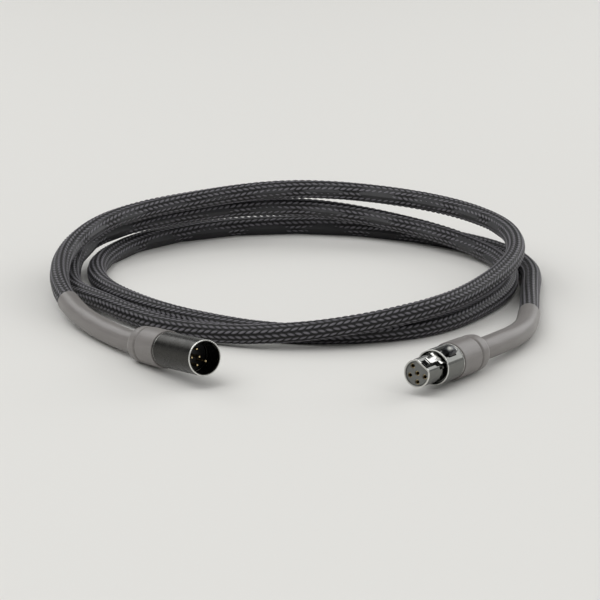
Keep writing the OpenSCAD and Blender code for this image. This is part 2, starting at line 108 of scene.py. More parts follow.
def add_node(
    tree: NodeTree, kind: str, inputs: dict | None = None, **settings: object
) -> Node:
    """Add a shader node with its settings and links.

    Args:
        tree: The node tree to add it to.
        kind: The node's type name, less the prefix that all shader nodes share.
        inputs: For each input, by name or number, a value or the socket that feeds it.
        **settings: The node's own properties.

    Returns:
        The new node.
    """
    made = tree.nodes.new(f"ShaderNode{kind}")
    for name, value in settings.items():
        setattr(made, name, value)
    for name, value in (inputs or {}).items():
        if isinstance(value, NodeSocket):
            tree.links.new(value, made.inputs[name])
        else:
            made.inputs[name].default_value = value
    return made


def noise_scale(size_mm: float) -> float:
    """Give the noise scale whose blotches are about this many millimetres across."""
    return 1 / (size_mm * MM)


def wave_scale(spacing_mm: float) -> float:
    """Give the wave scale whose bands repeat at this many millimetres."""
    radians_per_unit = 20
    return 2 * math.pi / (spacing_mm * MM * radians_per_unit)


@dataclass(frozen=True)
class Finish:
    """A real finish: what a piece is made of and how its surface was made."""

    name: str
    colour: str
    roughness: float

    def build(self) -> Material:
        """Make the material.

        Returns:
            The material, its shader dressed by the finish's own nodes.
        """
        material = bpy.data.materials.new(self.name)
        material.use_nodes = True
        tree = material.node_tree
        tree.nodes.clear()
        plain = {"Base Color": linear(self.colour), "Roughness": self.roughness}
        shader = add_node(tree, "BsdfPrincipled", plain)
        add_node(tree, "OutputMaterial", {"Surface": shader.outputs["BSDF"]})
        self.dress(tree, shader)
        material.diffuse_color = linear(self.colour)
        return material

    def dress(self, tree: NodeTree, shader: Node) -> None:
        """Add the finish's own nodes.

        Args:
            tree: The material's tree.
            shader: Its Principled shader.
        """
        raise NotImplementedError

    def clouded(
        self, tree: NodeTree, pattern: NodeSocket, other: str,
        share: float, band: tuple[float, float] = (0.35, 0.7),
    ) -> NodeSocket:
        """Turn the finish's colour towards another one where a pattern is high.

        Args:
            tree: The material's tree.
            pattern: The pattern, from 0 to 1.
            other: The other colour, as sRGB hex.
            share: How much of it there is where the pattern is high.
            band: The pattern's values over which the share grows.

        Returns:
            The colour.
        """
        grown = add_node(tree, "MapRange", {
            "Value": pattern, "From Min": band[0], "From Max": band[1], "To Max": share,
        }).outputs["Result"]
        return add_node(tree, "Mix", {
            MIX_SHARE: grown, MIX_FIRST: linear(self.colour), MIX_SECOND: linear(other),
        }, data_type="RGBA").outputs[MIX_RESULT]

    def gloss_by(
        self, tree: NodeTree, shader: Node, pattern: NodeSocket,
        spread: tuple[float, float], band: tuple[float, float] = (0.3, 0.7),
    ) -> None:
        """Let the gloss follow a pattern.

        Args:
            tree: The material's tree.
            shader: Its Principled shader.
            pattern: The pattern, from 0 to 1.
            spread: The least and the most roughness, as shares of the finish's own.
            band: The pattern's values that have them.
        """
        rough = add_node(tree, "MapRange", {
            "Value": pattern, "From Min": band[0], "From Max": band[1],
            "To Min": self.roughness * spread[0], "To Max": self.roughness * spread[1],
        })
        tree.links.new(rough.outputs["Result"], shader.inputs["Roughness"])


def emboss(
    tree: NodeTree, shader: Node, layers: Sequence[tuple[NodeSocket, float]]
) -> None:
    """Lay fine reliefs over each other on a surface.

    Args:
        tree: The material's tree.
        shader: Its Principled shader.
        layers: Each relief's height and its depth in millimetres, the lowest first.
    """
    below = {}
    for height, depth_mm in layers:
        bump = add_node(tree, "Bump", {"Height": height, "Distance": depth_mm * MM, **below})
        below = {"Normal": bump.outputs["Normal"]}
    tree.links.new(below["Normal"], shader.inputs["Normal"])


@dataclass(frozen=True)
class PlatedMetal(Finish):
    """Metal turned or stamped, then plated: it mirrors the room, broken by fine marks.

    The painted light colour shows where the piece's edge value is 1: a painted highlight on rims
    and on the button's crown, painted shade on the latch strip's walls.
    """

    marks: Marks = Marks.ALONG_THE_PLUG
    # Pale by default: the painted highlight on plug rims and on the button's crown
    painted_light_colour: str = "#d8d8d4"
    mark_spacing_mm: float = 0.3
    mark_depth_mm: float = 0.0005
    cloud_mm: float = 3.0
    cloud_colour: str = "#808080"
    cloud_share: float = 0.2
    gloss_spread: tuple[float, float] = (0.8, 1.25)
    grit_mm: float = 0.15
    grit_depth_mm: float = 0.0006

    def dress(self, tree: NodeTree, shader: Node) -> None:
        """Add clouded plating, painted light where the edge value says, uneven polish, tool marks
        and fine grit.

        Args:
            tree: The material's tree.
            shader: Its Principled shader.
        """
        shader.inputs["Metallic"].default_value = 1.0
        place = add_node(tree, "TexCoord").outputs["Object"]
        cloud = add_node(tree, "TexNoise", {
            "Vector": place, "Scale": noise_scale(self.cloud_mm), "Detail": 3.0,
        }).outputs["Fac"]
        plating = self.clouded(tree, cloud, self.cloud_colour, self.cloud_share)
        # Where the edge value is high the colour turns to the painted light colour: painted
        # highlight, or painted shade on the latch
        edge = add_node(tree, "Attribute", attribute_name="edge").outputs["Fac"]
        cut = add_node(tree, "Mix", {
            MIX_SHARE: edge, MIX_FIRST: plating, MIX_SECOND: linear(self.painted_light_colour),
        }, data_type="RGBA").outputs[MIX_RESULT]
        tree.links.new(cut, shader.inputs["Base Color"])
        self.gloss_by(tree, shader, cloud, self.gloss_spread)
        lines = add_node(tree, "TexWave", {
            "Vector": place, "Scale": wave_scale(self.mark_spacing_mm),
            "Distortion": 0.6, "Detail": 2.0,
        }, wave_type="BANDS", bands_direction=self.marks.value).outputs["Fac"]
        grit = add_node(tree, "TexNoise", {
            "Vector": place, "Scale": noise_scale(self.grit_mm), "Detail": 2.0,
        }).outputs["Fac"]
        emboss(tree, shader, [(lines, self.mark_depth_mm), (grit, self.grit_depth_mm)])


@dataclass(frozen=True)
class MouldedPlastic(Finish):
    """Moulded or extruded plastic: dull gloss with a fine sparked grain."""

    ior: float = 1.5
    grain_mm: float = 0.2
    grain_depth_mm: float = 0.004
    shade_mm: float = 2.0
    shade_colour: str = "#303030"
    shade_share: float = 0.25
    gloss_spread: tuple[float, float] = (0.85, 1.15)

    def dress(self, tree: NodeTree, shader: Node) -> None:
        """Add flow clouding, uneven gloss and the mould's grain.

        Args:
            tree: The material's tree.
            shader: Its Principled shader.
        """
        shader.inputs["IOR"].default_value = self.ior
        place = add_node(tree, "TexCoord").outputs["Object"]
        flow = add_node(tree, "TexNoise", {
            "Vector": place, "Scale": noise_scale(self.shade_mm), "Detail": 4.0,
        }).outputs["Fac"]
        body = self.clouded(tree, flow, self.shade_colour, self.shade_share)
        tree.links.new(body, shader.inputs["Base Color"])
        self.gloss_by(tree, shader, flow, self.gloss_spread)
        grain = add_node(tree, "TexNoise", {
            "Vector": place, "Scale": noise_scale(self.grain_mm), "Detail": 3.0,
        }).outputs["Fac"]
        emboss(tree, shader, [(grain, self.grain_depth_mm)])


@dataclass(frozen=True)
class WovenYarn(Finish):
    """Dyed nylon multifilament, braided: crests in the yarn's colour, partly a painted highlight,
    over near-black painted shade in the gaps.
    """

    # Near-black painted shade for the gaps between picks
    gap_shade_colour: str = "#060607"
    worn_colour: str = "#7d7a82"
    lit_crest: tuple[float, float] = (0.22, 0.85)
    filament_mm: float = 0.17
    filament_depth_mm: float = 0.02
    fuzz_mm: float = 0.35
    gloss_spread: tuple[float, float] = (0.85, 1.2)

    def dress(self, tree: NodeTree, shader: Node) -> None:
        """Add the crest colour with painted shade down into the gaps, strand to strand drift,
        filaments and fuzz.

        Args:
            tree: The material's tree.
            shader: Its Principled shader.
        """
        nylon = {"IOR": 1.53, "Specular IOR Level": 0.3, "Sheen Weight": 0.05,
                 "Sheen Roughness": 0.4}
        for name, value in nylon.items():
            shader.inputs[name].default_value = value
        relief, drift, across = (
            add_node(tree, "Attribute", attribute_name=name).outputs["Fac"]
            for name in ("relief", "drift", "across")
        )
        place = add_node(tree, "TexCoord").outputs["Object"]
        # Colour by nearness to the crest: yarn colour with painted highlight on crests, falling to
        # painted shade in the gaps
        height = add_node(tree, "MapRange", {
            "Value": relief, "From Min": self.lit_crest[0], "From Max": self.lit_crest[1],
        }, interpolation_type="SMOOTHSTEP").outputs["Result"]
        rubbing = add_node(tree, "Math", {0: drift, 1: height}, operation="MULTIPLY")
        colour = linear(self.gap_shade_colour)
        for share, over in ((height, self.colour), (rubbing.outputs["Value"], self.worn_colour)):
            colour = add_node(tree, "Mix", {
                MIX_SHARE: share, MIX_FIRST: colour, MIX_SECOND: linear(over),
            }, data_type="RGBA").outputs[MIX_RESULT]
        tree.links.new(colour, shader.inputs["Base Color"])
        ridge = across
        for operation, other in (
            ("MULTIPLY", 2 * math.pi / self.filament_mm), ("SINE", 0.0), ("MULTIPLY", height)
        ):
            ridge = add_node(
                tree, "Math", {0: ridge, 1: other}, operation=operation
            ).outputs["Value"]
        fuzz = add_node(tree, "TexNoise", {
            "Vector": place, "Scale": noise_scale(self.fuzz_mm), "Detail": 3.0,
        }).outputs["Fac"]
        self.gloss_by(tree, shader, fuzz, self.gloss_spread)
        depth = self.filament_depth_mm
        emboss(tree, shader, [(ridge, depth / 2), (fuzz, depth)])


@dataclass(frozen=True)
class ShrunkTube(Finish):
    """Polyolefin tube, extruded and shrunk by heat: satin, with faint drawn streaks."""

    scuffed_colour: str = "#928d8a"
    scuffed_share: float = 0.35
    scuffed_band: tuple[float, float] = (0.45, 0.8)
    streak_mm: float = 0.5
    streak_length_mm: float = 9.0
    orange_peel_mm: float = 0.8
    orange_peel_depth_mm: float = 0.01
    gloss_spread: tuple[float, float] = (0.85, 1.15)

    def dress(self, tree: NodeTree, shader: Node) -> None:
        """Add streaks along the tube, scuffs, and the peel that the heat leaves.

        Args:
            tree: The material's tree.
            shader: Its Principled shader.
        """
        polyolefin_ior = 1.51
        shader.inputs["IOR"].default_value = polyolefin_ior
        along, around = (
            add_node(tree, "Attribute", attribute_name=name).outputs["Fac"]
            for name in ("along", "around")
        )
        place = add_node(tree, "TexCoord").outputs["Object"]
        slow = add_node(
            tree, "Math", {0: along, 1: self.streak_mm / self.streak_length_mm},
            operation="MULTIPLY",
        ).outputs["Value"]
        drawn = add_node(tree, "CombineXYZ", {"X": around, "Y": slow}).outputs["Vector"]
        streak = add_node(tree, "TexNoise", {
            "Vector": drawn, "Scale": 1 / self.streak_mm, "Detail": 3.0,
        }).outputs["Fac"]
        body = self.clouded(
            tree, streak, self.scuffed_colour, self.scuffed_share, self.scuffed_band
        )
        tree.links.new(body, shader.inputs["Base Color"])
        self.gloss_by(tree, shader, streak, self.gloss_spread)
        peel = add_node(tree, "TexNoise", {
            "Vector": place, "Scale": noise_scale(self.orange_peel_mm), "Detail": 2.0,
        }).outputs["Fac"]
        depth = self.orange_peel_depth_mm
        emboss(tree, shader, [(streak, depth), (peel, depth)])


@dataclass(frozen=True)
class PaperSweep(Finish):
    """Matt studio paper: pale and even, with hardly any gloss."""

    fibre_mm: float = 1.5
    gloss_spread: tuple[float, float] = (0.95, 1.0)

    def dress(self, tree: NodeTree, shader: Node) -> None:
        """Add the paper's faint fibre to its gloss.

        Args:
            tree: The material's tree.
            shader: Its Principled shader.
        """
        shader.inputs["Specular IOR Level"].default_value = 0.2
        place = add_node(tree, "TexCoord").outputs["Object"]
        fibre = add_node(tree, "TexNoise", {
            "Vector": place, "Scale": noise_scale(self.fibre_mm), "Detail": 3.0,
        }).outputs["Fac"]
        self.gloss_by(tree, shader, fibre, self.gloss_spread, band=(0.0, 1.0))


# ---- Meshes ------------------------------------------------------------------


@dataclass(frozen=True)
class Ring:
    """One ring of a turned piece: a radius at a depth, cut by a flat where it has one.

    A ring's edge value paints a highlight line there; 1 is a full painted highlight, as on a rim.
    """

    radius: float
    depth: float
    flat: float = NO_FLAT
    edge: float = 0.0


def soften(rings: Sequence[Ring], radius: float) -> list[Ring]:
    """Round the corners of a closed profile.

    Args:
        rings: The profile's corners, in order.
        radius: How far from a corner its rounding starts, in millimetres.

    Returns:
        The rounded profile, still closed.
    """
    most_of_side, steps = 0.45, 3
    out: list[Ring] = []
    for i, ring in enumerate(rings):
        here = np.array([ring.radius, ring.depth])
        ends = []
        for other in (rings[i - 1], rings[(i + 1) % len(rings)]):
            side = np.array([other.radius, other.depth]) - here
            length = float(np.linalg.norm(side))
            reach = min(radius, most_of_side * length)
            ends.append(here + side * (reach / length if length else 0))
        for t in np.linspace(0, 1, steps + 1):
            at = (1 - t) ** 2 * ends[0] + 2 * t * (1 - t) * here + t**2 * ends[1]
            out.append(Ring(float(at[0]), float(at[1]), ring.flat, ring.edge))
    return guarded(out)


def guarded(rings: Sequence[Ring]) -> list[Ring]:
    """Add a ring near both ends of each long side, so that the shading between stays even.

    Args:
        rings: A closed profile.

    Returns:
        The same profile with more rings.
    """
    long_side, guard = 0.3, 0.1
    out: list[Ring] = []
    for i, ring in enumerate(rings):
        ahead = rings[(i + 1) % len(rings)]
        out.append(ring)
        length = math.hypot(ahead.radius - ring.radius, ahead.depth - ring.depth)
        if length > long_side and ring.flat == ahead.flat:
            for share in (guard / length, 1 - guard / length):
                radius = ring.radius + share * (ahead.radius - ring.radius)
                depth = ring.depth + share * (ahead.depth - ring.depth)
                out.append(Ring(radius, depth, ring.flat))
    return out


def grid_quads(rings: int, sides: int, closed: bool) -> np.ndarray:
    """Number the quads between rings of points.

    Args:
        rings: How many rings there are.
        sides: How many points each ring has.
        closed: Whether the last ring joins the first.

    Returns:
        One row of four point numbers per quad.
    """
    i = np.arange(rings if closed else rings - 1)[:, None]
    k = np.arange(sides)[None, :]
    ahead, beside = (i + 1) % rings, (k + 1) % sides
    quads = (i * sides + k, ahead * sides + k, ahead * sides + beside, i * sides + beside)
    return np.stack(quads, axis=-1).reshape(-1, 4)


def make_piece(
    name: str,
    points: np.ndarray,
    faces: Sequence[Sequence[int]],
    place: Matrix | None = None,
    values: dict[str, np.ndarray] | None = None,
) -> Object:
    """Make a smooth-shaded closed piece.

    Args:
        name: The piece's name.
        points: Its points, in millimetres, in its own frame.
        faces: Its faces, as point numbers.
        place: Where its frame lies, in metres.
        values: Numbers for each point, by the name that the finish reads.

    Returns:
        The piece, linked to the scene.
    """
    mesh = bpy.data.meshes.new(name)
    mesh.from_pydata((np.asarray(points) * MM).tolist(), [], [list(f) for f in faces])
    add_values(mesh, **(values or {}))
    work = bmesh.new()
    work.from_mesh(mesh)
    merge_within = 1e-7
    bmesh.ops.remove_doubles(work, verts=work.verts, dist=merge_within)
    bmesh.ops.dissolve_degenerate(work, edges=work.edges, dist=merge_within)
    bmesh.ops.recalc_face_normals(work, faces=work.faces)
    work.to_mesh(mesh)
    work.free()
    return stand(name, mesh, place)


def linked(name: str, data: ID) -> Object:
    """Make an object of a mesh, lamp or camera and link it to the scene.

    Args:
        name: The object's name.
        data: What it shows.

    Returns:
        The object.
    """
    made = bpy.data.objects.new(name, data)
    bpy.context.scene.collection.objects.link(made)
    return made


def stand(
    name: str, mesh: Mesh, place: Matrix | None = None, sharp_deg: float = SHARP_DEG
) -> Object:
    """Link a mesh to the scene as a piece, smooth but for its sharp edges.

    Args:
        name: The piece's name.
        mesh: Its mesh, in metres.
        place: Where its frame lies.
        sharp_deg: The angle above which an edge stays sharp.

    Returns:
        The piece.
    """
    mesh.shade_smooth()
    mesh.set_sharp_from_angle(angle=math.radians(sharp_deg))
    piece = linked(name, mesh)
    piece.matrix_world = place or Matrix.Identity(4)
    return piece


def turned(
    name: str, rings: Sequence[Ring], key_deg: float, place: Matrix, sides: int = 144
) -> Object:
    """Turn a closed profile round a plug's axis.

    Args:
        name: The piece's name.
        rings: The profile, in order.
        key_deg: The direction of the flats.
        place: The plug's frame.
        sides: The points on each ring.

    Returns:
        The piece.
    """
    angle = np.linspace(0, 2 * math.pi, sides, endpoint=False)
    toward_flat = np.cos(angle - math.radians(key_deg))
    least_facing = 0.1
    rows = []
    for ring in rings:
        reach = ring.flat / np.maximum(toward_flat, least_facing)
        cut = np.where(toward_flat > least_facing, reach, NO_FLAT)
        radius = np.minimum(ring.radius, cut)
        depth = np.full(sides, -ring.depth)
        rows.append(np.stack([radius * np.sin(angle), radius * np.cos(angle), depth], axis=-1))
    edge = np.repeat([ring.edge for ring in rings], sides)
    faces = grid_quads(len(rings), sides, True)
    return make_piece(name, np.concatenate(rows), faces, place, values={"edge": edge})


def bevelled_prism(
    outline: Sequence[tuple[float, float]], thickness: float, bevel: float, place: Matrix
) -> Mesh:
    """Extrude an outline and round all its edges.

    Args:
        outline: Its corners, in millimetres.
        thickness: How far it is extruded along its own Z.
        bevel: How far the rounding reaches from an edge.
        place: Where the prism's frame lies in the piece's frame, in millimetres.

    Returns:
        The prism's mesh, in millimetres.
    """
    work = bmesh.new()
    base = work.faces.new([work.verts.new((x, y, 0)) for x, y in outline])
    grown = bmesh.ops.extrude_face_region(work, geom=[base])
    top = [v for v in grown["geom"] if isinstance(v, bmesh.types.BMVert)]
    bmesh.ops.translate(work, verts=top, vec=(0, 0, thickness))
    bmesh.ops.recalc_face_normals(work, faces=work.faces)
    bmesh.ops.bevel(
        work, geom=work.edges[:], offset=bevel, segments=3, profile=0.5, affect="EDGES",
        clamp_overlap=True,
    )
    bmesh.ops.transform(work, matrix=place, verts=work.verts)
    mesh = bpy.data.meshes.new("prism")
    work.to_mesh(mesh)
    work.free()
    return mesh


def joined(name: str, parts: Sequence[Mesh], place: Matrix) -> Object:
    """Join closed solids, in millimetres, into one piece.

    Args:
        name: The piece's name.
        parts: The solids. Each is removed once it is joined.
        place: The piece's frame.

    Returns:
        The piece.
    """
    work = bmesh.new()
    for part in parts:
        work.from_mesh(part)
        bpy.data.meshes.remove(part)
    bmesh.ops.recalc_face_normals(work, faces=work.faces)
    bmesh.ops.scale(work, vec=(MM, MM, MM), verts=work.verts)
    mesh = bpy.data.meshes.new(name)
    work.to_mesh(mesh)
    work.free()
    return stand(name, mesh, place)


def carve(piece: Object, cutters: Sequence[Object]) -> None:
    """Cut solids out of a piece and remove the cutters.

    Args:
        piece: The piece to cut.
        cutters: The solids to take away.
    """
    for cutter in cutters:
        cut = piece.modifiers.new(cutter.name, "BOOLEAN")
        cut.operation = "DIFFERENCE"
        cut.solver = "EXACT"
        cut.object = cutter
    bpy.context.view_layer.update()
    seen = piece.evaluated_get(bpy.context.evaluated_depsgraph_get())
    mesh = bpy.data.meshes.new_from_object(seen)
    piece.modifiers.clear()
    piece.data = mesh
    for cutter in cutters:
        bpy.data.objects.remove(cutter)
    mesh.set_sharp_from_angle(angle=math.radians(SHARP_DEG))


def box_cutter(
    name: str, place: Matrix, width: float, low: float, high: float, front: float, back: float
) -> Object:
    """Make a box to cut with, in a plug's keyed frame.

    Args:
        name: The cutter's name.
        place: The keyed frame, whose Y is the key's direction.
        width: Its width across the key.
        low: Its lowest distance from the axis.
        high: Its highest distance from the axis.
        front: Its front's depth.
        back: Its back's depth.

    Returns:
        The cutter.
    """
    corners = np.array(
        [(x, y, -z) for x in (-width / 2, width / 2) for y in (low, high) for z in (front, back)]
    )
    faces = [(0, 1, 3, 2), (4, 6, 7, 5), (0, 4, 5, 1), (2, 3, 7, 6), (0, 2, 6, 4), (1, 5, 7, 3)]
    return make_piece(name, corners, faces, place)


def dress(
    piece: Object,
    finish: Material,
    body: Body,
    nodes: Sequence[str],
) -> Object:
    """Give a new piece its finish, its body and the nodes that it stands for.

    Args:
        piece: The piece.
        finish: Its material.
        body: The body that it rides on.
        nodes: The frame's nodes that it replaces.

    Returns:
        The same piece.
    """
    piece.data.materials.clear()
    piece.data.materials.append(finish)
    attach(piece, body.value)
    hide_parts(*nodes)
    LOG.info("%s stands for %s: %d faces", piece.name, nodes[0], len(piece.data.polygons))
    return piece


# ---- Sizes shared by the plugs and the cable -----------------------------------


@dataclass(frozen=True)
class Sizes:
    """Sizes that more than one sub-assembly needs."""

    cord_r: float = 3.25
    shell_r: float = 5.5
    shell_ri: float = 4.9
    shell_tuck: float = 2.8
    fit: float = 0.05
    shrink_wall: float = 0.2
    boot_len: float = 11.2
    taper_len: float = 7.4
    straight_end: float = 7.0

    @property
    def boot_r(self) -> float:
        """Radius of the heat-shrink where it lies on a shell."""
        return self.shell_r + 3 * self.fit + self.shrink_wall

    @property
    def exit_after(self) -> float:
        """How far behind a boot's front edge the cable leaves the plug."""
        return self.boot_len + self.taper_len


@dataclass(frozen=True)
class PlugPlace:
    """Where a plug lies: its mouth's centre on the ground plan, and its way out."""

    face_x: float
    face_y: float
    turn_deg: float
    tilt_deg: float
    boot_start: float
    key_deg: float
    sizes: Sizes = field(default_factory=Sizes)

    @property
    def face(self) -> np.ndarray:
        """Centre of the mouth. The plug rests on its heat-shrink shoulder.

        Returns:
            The point, in millimetres.
        """
        tilt = math.radians(self.tilt_deg)
        behind = self.boot_start + self.sizes.boot_len
        height = self.sizes.boot_r * math.cos(tilt) + behind * math.sin(tilt)
        return np.array([self.face_x, self.face_y, height])

    @property
    def out(self) -> np.ndarray:
        """Unit vector out of the mouth.

        Returns:
            The vector.
        """
        turn, tilt = math.radians(self.turn_deg), math.radians(self.tilt_deg)
        return np.array(
            [
                math.sin(turn) * math.cos(tilt),
                -math.cos(turn) * math.cos(tilt),
                math.sin(tilt),
            ]
        )

    @property
    def exit_depth(self) -> float:
        """Depth at which the cable leaves the plug."""
        return self.boot_start + self.sizes.exit_after

    def at(self, depth: float) -> np.ndarray:
        """Give the point on the axis at a depth behind the face."""
        return self.face - depth * self.out

    def frame(self, keyed: bool = False) -> Matrix:
        """Give the plug's frame in metres, with Y along the key where it is keyed.

        Args:
            keyed: Whether it is turned to the key.

        Returns:
            The frame.
        """
        lie = Euler(
            (math.radians(90 - self.tilt_deg), 0, math.radians(self.turn_deg)), "XYZ"
        ).to_matrix()
        place = Matrix.Translation(Vector(self.face * MM)) @ lie.to_4x4()
        if keyed:
            place = place @ Matrix.Rotation(math.radians(-self.key_deg), 4, "Z")
        return place


# ---- The cable's lay -----------------------------------------------------------


def hermite(
    a: np.ndarray, ta: np.ndarray, b: np.ndarray, tb: np.ndarray, t: np.ndarray
) -> np.ndarray:
    """Run a cubic from one point to another with given pulls.

    Args:
        a: The first point.
        ta: The pull at the first point.
        b: The last point.
        tb: The pull at the last point.
        t: Places along it, from 0 to 1.

    Returns:
        The points at those places.
    """
    first = (2 * t**3 - 3 * t**2 + 1) * a + (t**3 - 2 * t**2 + t) * ta
    return first + (3 * t**2 - 2 * t**3) * b + (t**3 - t**2) * tb


@dataclass(frozen=True)
class Lay:
    """How the cable lies: its turns run clockwise, seen from above, from the left side.

    Each value of offsets and lifts is chosen for one twelfth of a turn: how much
    further than coil_r the centreline is from the middle of the coil, and how high it
    is above the floor height.
    """

    male: PlugPlace
    female: PlugPlace
    middle: tuple[float, float] = (0.0, 23.1)
    coil_r: float = 75.0
    stations: int = 12
    offsets: tuple[float, ...] = (
        2.5, 0, -2.5, -0.5, 2, 1, -3, -5, 0.5, 1.5, -2, -5,
        -0.5, 4.5, 3, 2, 0.5, -0.5, -5, -6.5, -2.5, -6.5, -14, -16,
        -10, -1, 7.5, 9.5, 7, 6.5, 2.5,
    )
    lifts: tuple[float, ...] = (
        7.2, 12, 14, 15.4, 13.8, 12.4, 11.2, 8.6, 6.8, 3, 0.2, 1.6,
        0, 5.8, 8, 8.4, 4.8, 1.4, 0.2, 0, 0, 0, 0, 0,
        0, 0, 0, 0, 0, 0, 0.3,
    )
    floor_height: float = 2.6
    male_pull: tuple[float, float] = (105.0, 85.0)
    female_pull: tuple[float, float] = (180.0, 100.0)
    levelling: tuple[float, float, float] = (1.0, 1.0, 0.3)
    step: float = 0.36
    settle_length: float = 9.0
    roundness_lift: float = 0.5
    lift_fades_at: float = 4.4

    def _through(self, values: Sequence[float], u: np.ndarray) -> np.ndarray:
        """Give a smooth curve through a list of values, at places between them.

        Args:
            values: The list.
            u: The places, where a whole number is a value of the list.

        Returns:
            The curve's value at each place.
        """
        v = np.asarray(values, dtype=float)
        slope = np.gradient(v)
        i = np.clip(np.floor(u).astype(int), 0, len(v) - 2)
        return hermite(v[i], slope[i], v[i + 1], slope[i + 1], u - i)

    def turn_point(self, u: np.ndarray | float) -> np.ndarray:
        """Give points of the turns, u stations after the first.

        Args:
            u: How many stations after the first each point is.

        Returns:
            The points, in millimetres.
        """
        u = np.atleast_1d(np.asarray(u, dtype=float))
        angle = np.radians(180 - 360 / self.stations * u)
        radius = self.coil_r + self._through(self.offsets, u)
        x = self.middle[0] + radius * np.cos(angle)
        y = self.middle[1] + radius * np.sin(angle)
        return np.stack([x, y, self.floor_height + self._through(self.lifts, u)], axis=-1)

    def _ways(self) -> tuple[np.ndarray, np.ndarray]:
        """Give the turns' first and last directions.

        Returns:
            Two unit vectors.
        """
        last, nudge = len(self.offsets) - 1, 0.01
        start = self.turn_point(nudge)[0] - self.turn_point(0)[0]
        end = self.turn_point(last)[0] - self.turn_point(last - nudge)[0]
        return start / np.linalg.norm(start), end / np.linalg.norm(end)

    def male_lead(self, share: np.ndarray) -> np.ndarray:
        """Give points of the lead from the male plug into the turns.

        Args:
            share: How far along it each point is, from 0 to 1.

        Returns:
            The points, in millimetres.
        """
        start_way, _ = self._ways()
        return hermite(
            self.male.at(self.male.exit_depth + self.male.sizes.straight_end),
            -self.male_pull[0] * self.male.out * np.array(self.levelling),
            self.turn_point(0)[0],
            self.male_pull[1] * start_way,
            np.atleast_1d(share)[:, None],
        )

    def female_lead(self, share: np.ndarray) -> np.ndarray:
        """Give points of the lead from the turns into the female plug.

        Args:
            share: How far along it each point is, from 0 to 1.

        Returns:
            The points, in millimetres.
        """
        _, end_way = self._ways()
        return hermite(
            self.turn_point(len(self.offsets) - 1)[0],
            self.female_pull[0] * end_way,
            self.female.at(self.female.exit_depth + self.female.sizes.straight_end),
            self.female_pull[1] * self.female.out,
            np.atleast_1d(share)[:, None],
        )

    def centreline(self) -> np.ndarray:
        """Give the cable's centreline from one boot's front edge to the other's.

        Returns:
            Points in millimetres, one step apart.
        """
        last = len(self.offsets) - 1
        lead_points, points_per_station, past_exit = 120, 60, 2
        inner = np.linspace(0, 1, lead_points)
        exit_after = self.male.sizes.exit_after
        ends = [0.0, exit_after, exit_after + past_exit]
        rough = np.concatenate(
            [
                [self.male.at(self.male.boot_start + e) for e in ends],
                self.male_lead(inner),
                self.turn_point(np.linspace(0, last, last * points_per_station + 1)[1:-1]),
                self.female_lead(inner),
                [self.female.at(self.female.boot_start + e) for e in reversed(ends)],
            ]
        )
        return self._settled(evenly(rough, self.step))

    def _settled(self, line: np.ndarray) -> np.ndarray:
        """Take out small kinks, and let the round cable lie on the ground, not in it.

        Args:
            line: The centreline, one step apart.

        Returns:
            The settled centreline, one step apart.
        """
        half = int(self.settle_length / self.step / 2)
        window = np.hanning(2 * half + 3)[1:-1]
        window /= window.sum()
        before = line[0] - (line[1] - line[0]) * np.arange(half, 0, -1)[:, None]
        after = line[-1] + (line[-1] - line[-2]) * np.arange(1, half + 1)[:, None]
        padded = np.concatenate([before, line, after])
        smooth = np.stack(
            [np.convolve(padded[:, k], window, mode="valid") for k in range(3)], axis=-1
        )
        room = self.lift_fades_at - self.floor_height
        near = np.clip((self.lift_fades_at - smooth[:, 2]) / room, 0, 1)
        smooth[:, 2] += self.roundness_lift * near * near * (3 - 2 * near)
        return evenly(smooth, self.step)


def evenly(line: np.ndarray, step: float) -> np.ndarray:
    """Space a line's points evenly.

    Args:
        line: Its points, in order.
        step: About how far apart the new ones are.

    Returns:
        The new points.
    """
    run = distances(line)
    count = max(2, round(run[-1] / step) + 1)
    at = np.linspace(0, run[-1], count)
    return np.stack([np.interp(at, run, line[:, k]) for k in range(3)], axis=-1)


def distances(line: np.ndarray) -> np.ndarray:
    """Give how far along a line each of its points is."""
    return np.concatenate([[0], np.cumsum(np.linalg.norm(np.diff(line, axis=0), axis=1))])


def swept(line: np.ndarray, radius: np.ndarray, angle: np.ndarray) -> np.ndarray:
    """Place rings of points along a line that runs nearly level.

    Args:
        line: The centreline, one point per ring.
        radius: A radius for each ring and side.
        angle: An angle for each ring and side.

    Returns:
        The points, kept above the ground, as one list.
    """
    ahead = np.gradient(line, axis=0)
    ahead /= np.linalg.norm(ahead, axis=1)[:, None]
    across = np.cross(ahead, [0, 0, 1])
    across /= np.linalg.norm(across, axis=1)[:, None]
    up = np.cross(across, ahead)
    points = (
        line[:, None]
        + (radius * np.cos(angle))[..., None] * across[:, None]
        + (radius * np.sin(angle))[..., None] * up[:, None]
    )
    above_ground = 0.02
    points[..., 2] = np.maximum(points[..., 2], above_ground)
    return points.reshape(-1, 3)


def add_values(mesh: Mesh, **values: np.ndarray) -> None:
    """Store a number per point on a mesh, for its finish.

    Args:
        mesh: The mesh.
        **values: The numbers, by the name that the finish reads.
    """
    for name, numbers in values.items():
        layer = mesh.attributes.new(name, "FLOAT", "POINT")
        layer.data.foreach_set("value", np.asarray(numbers, dtype=np.float32).ravel())


# ---- Sub-assemblies --------------------------------------------------------------


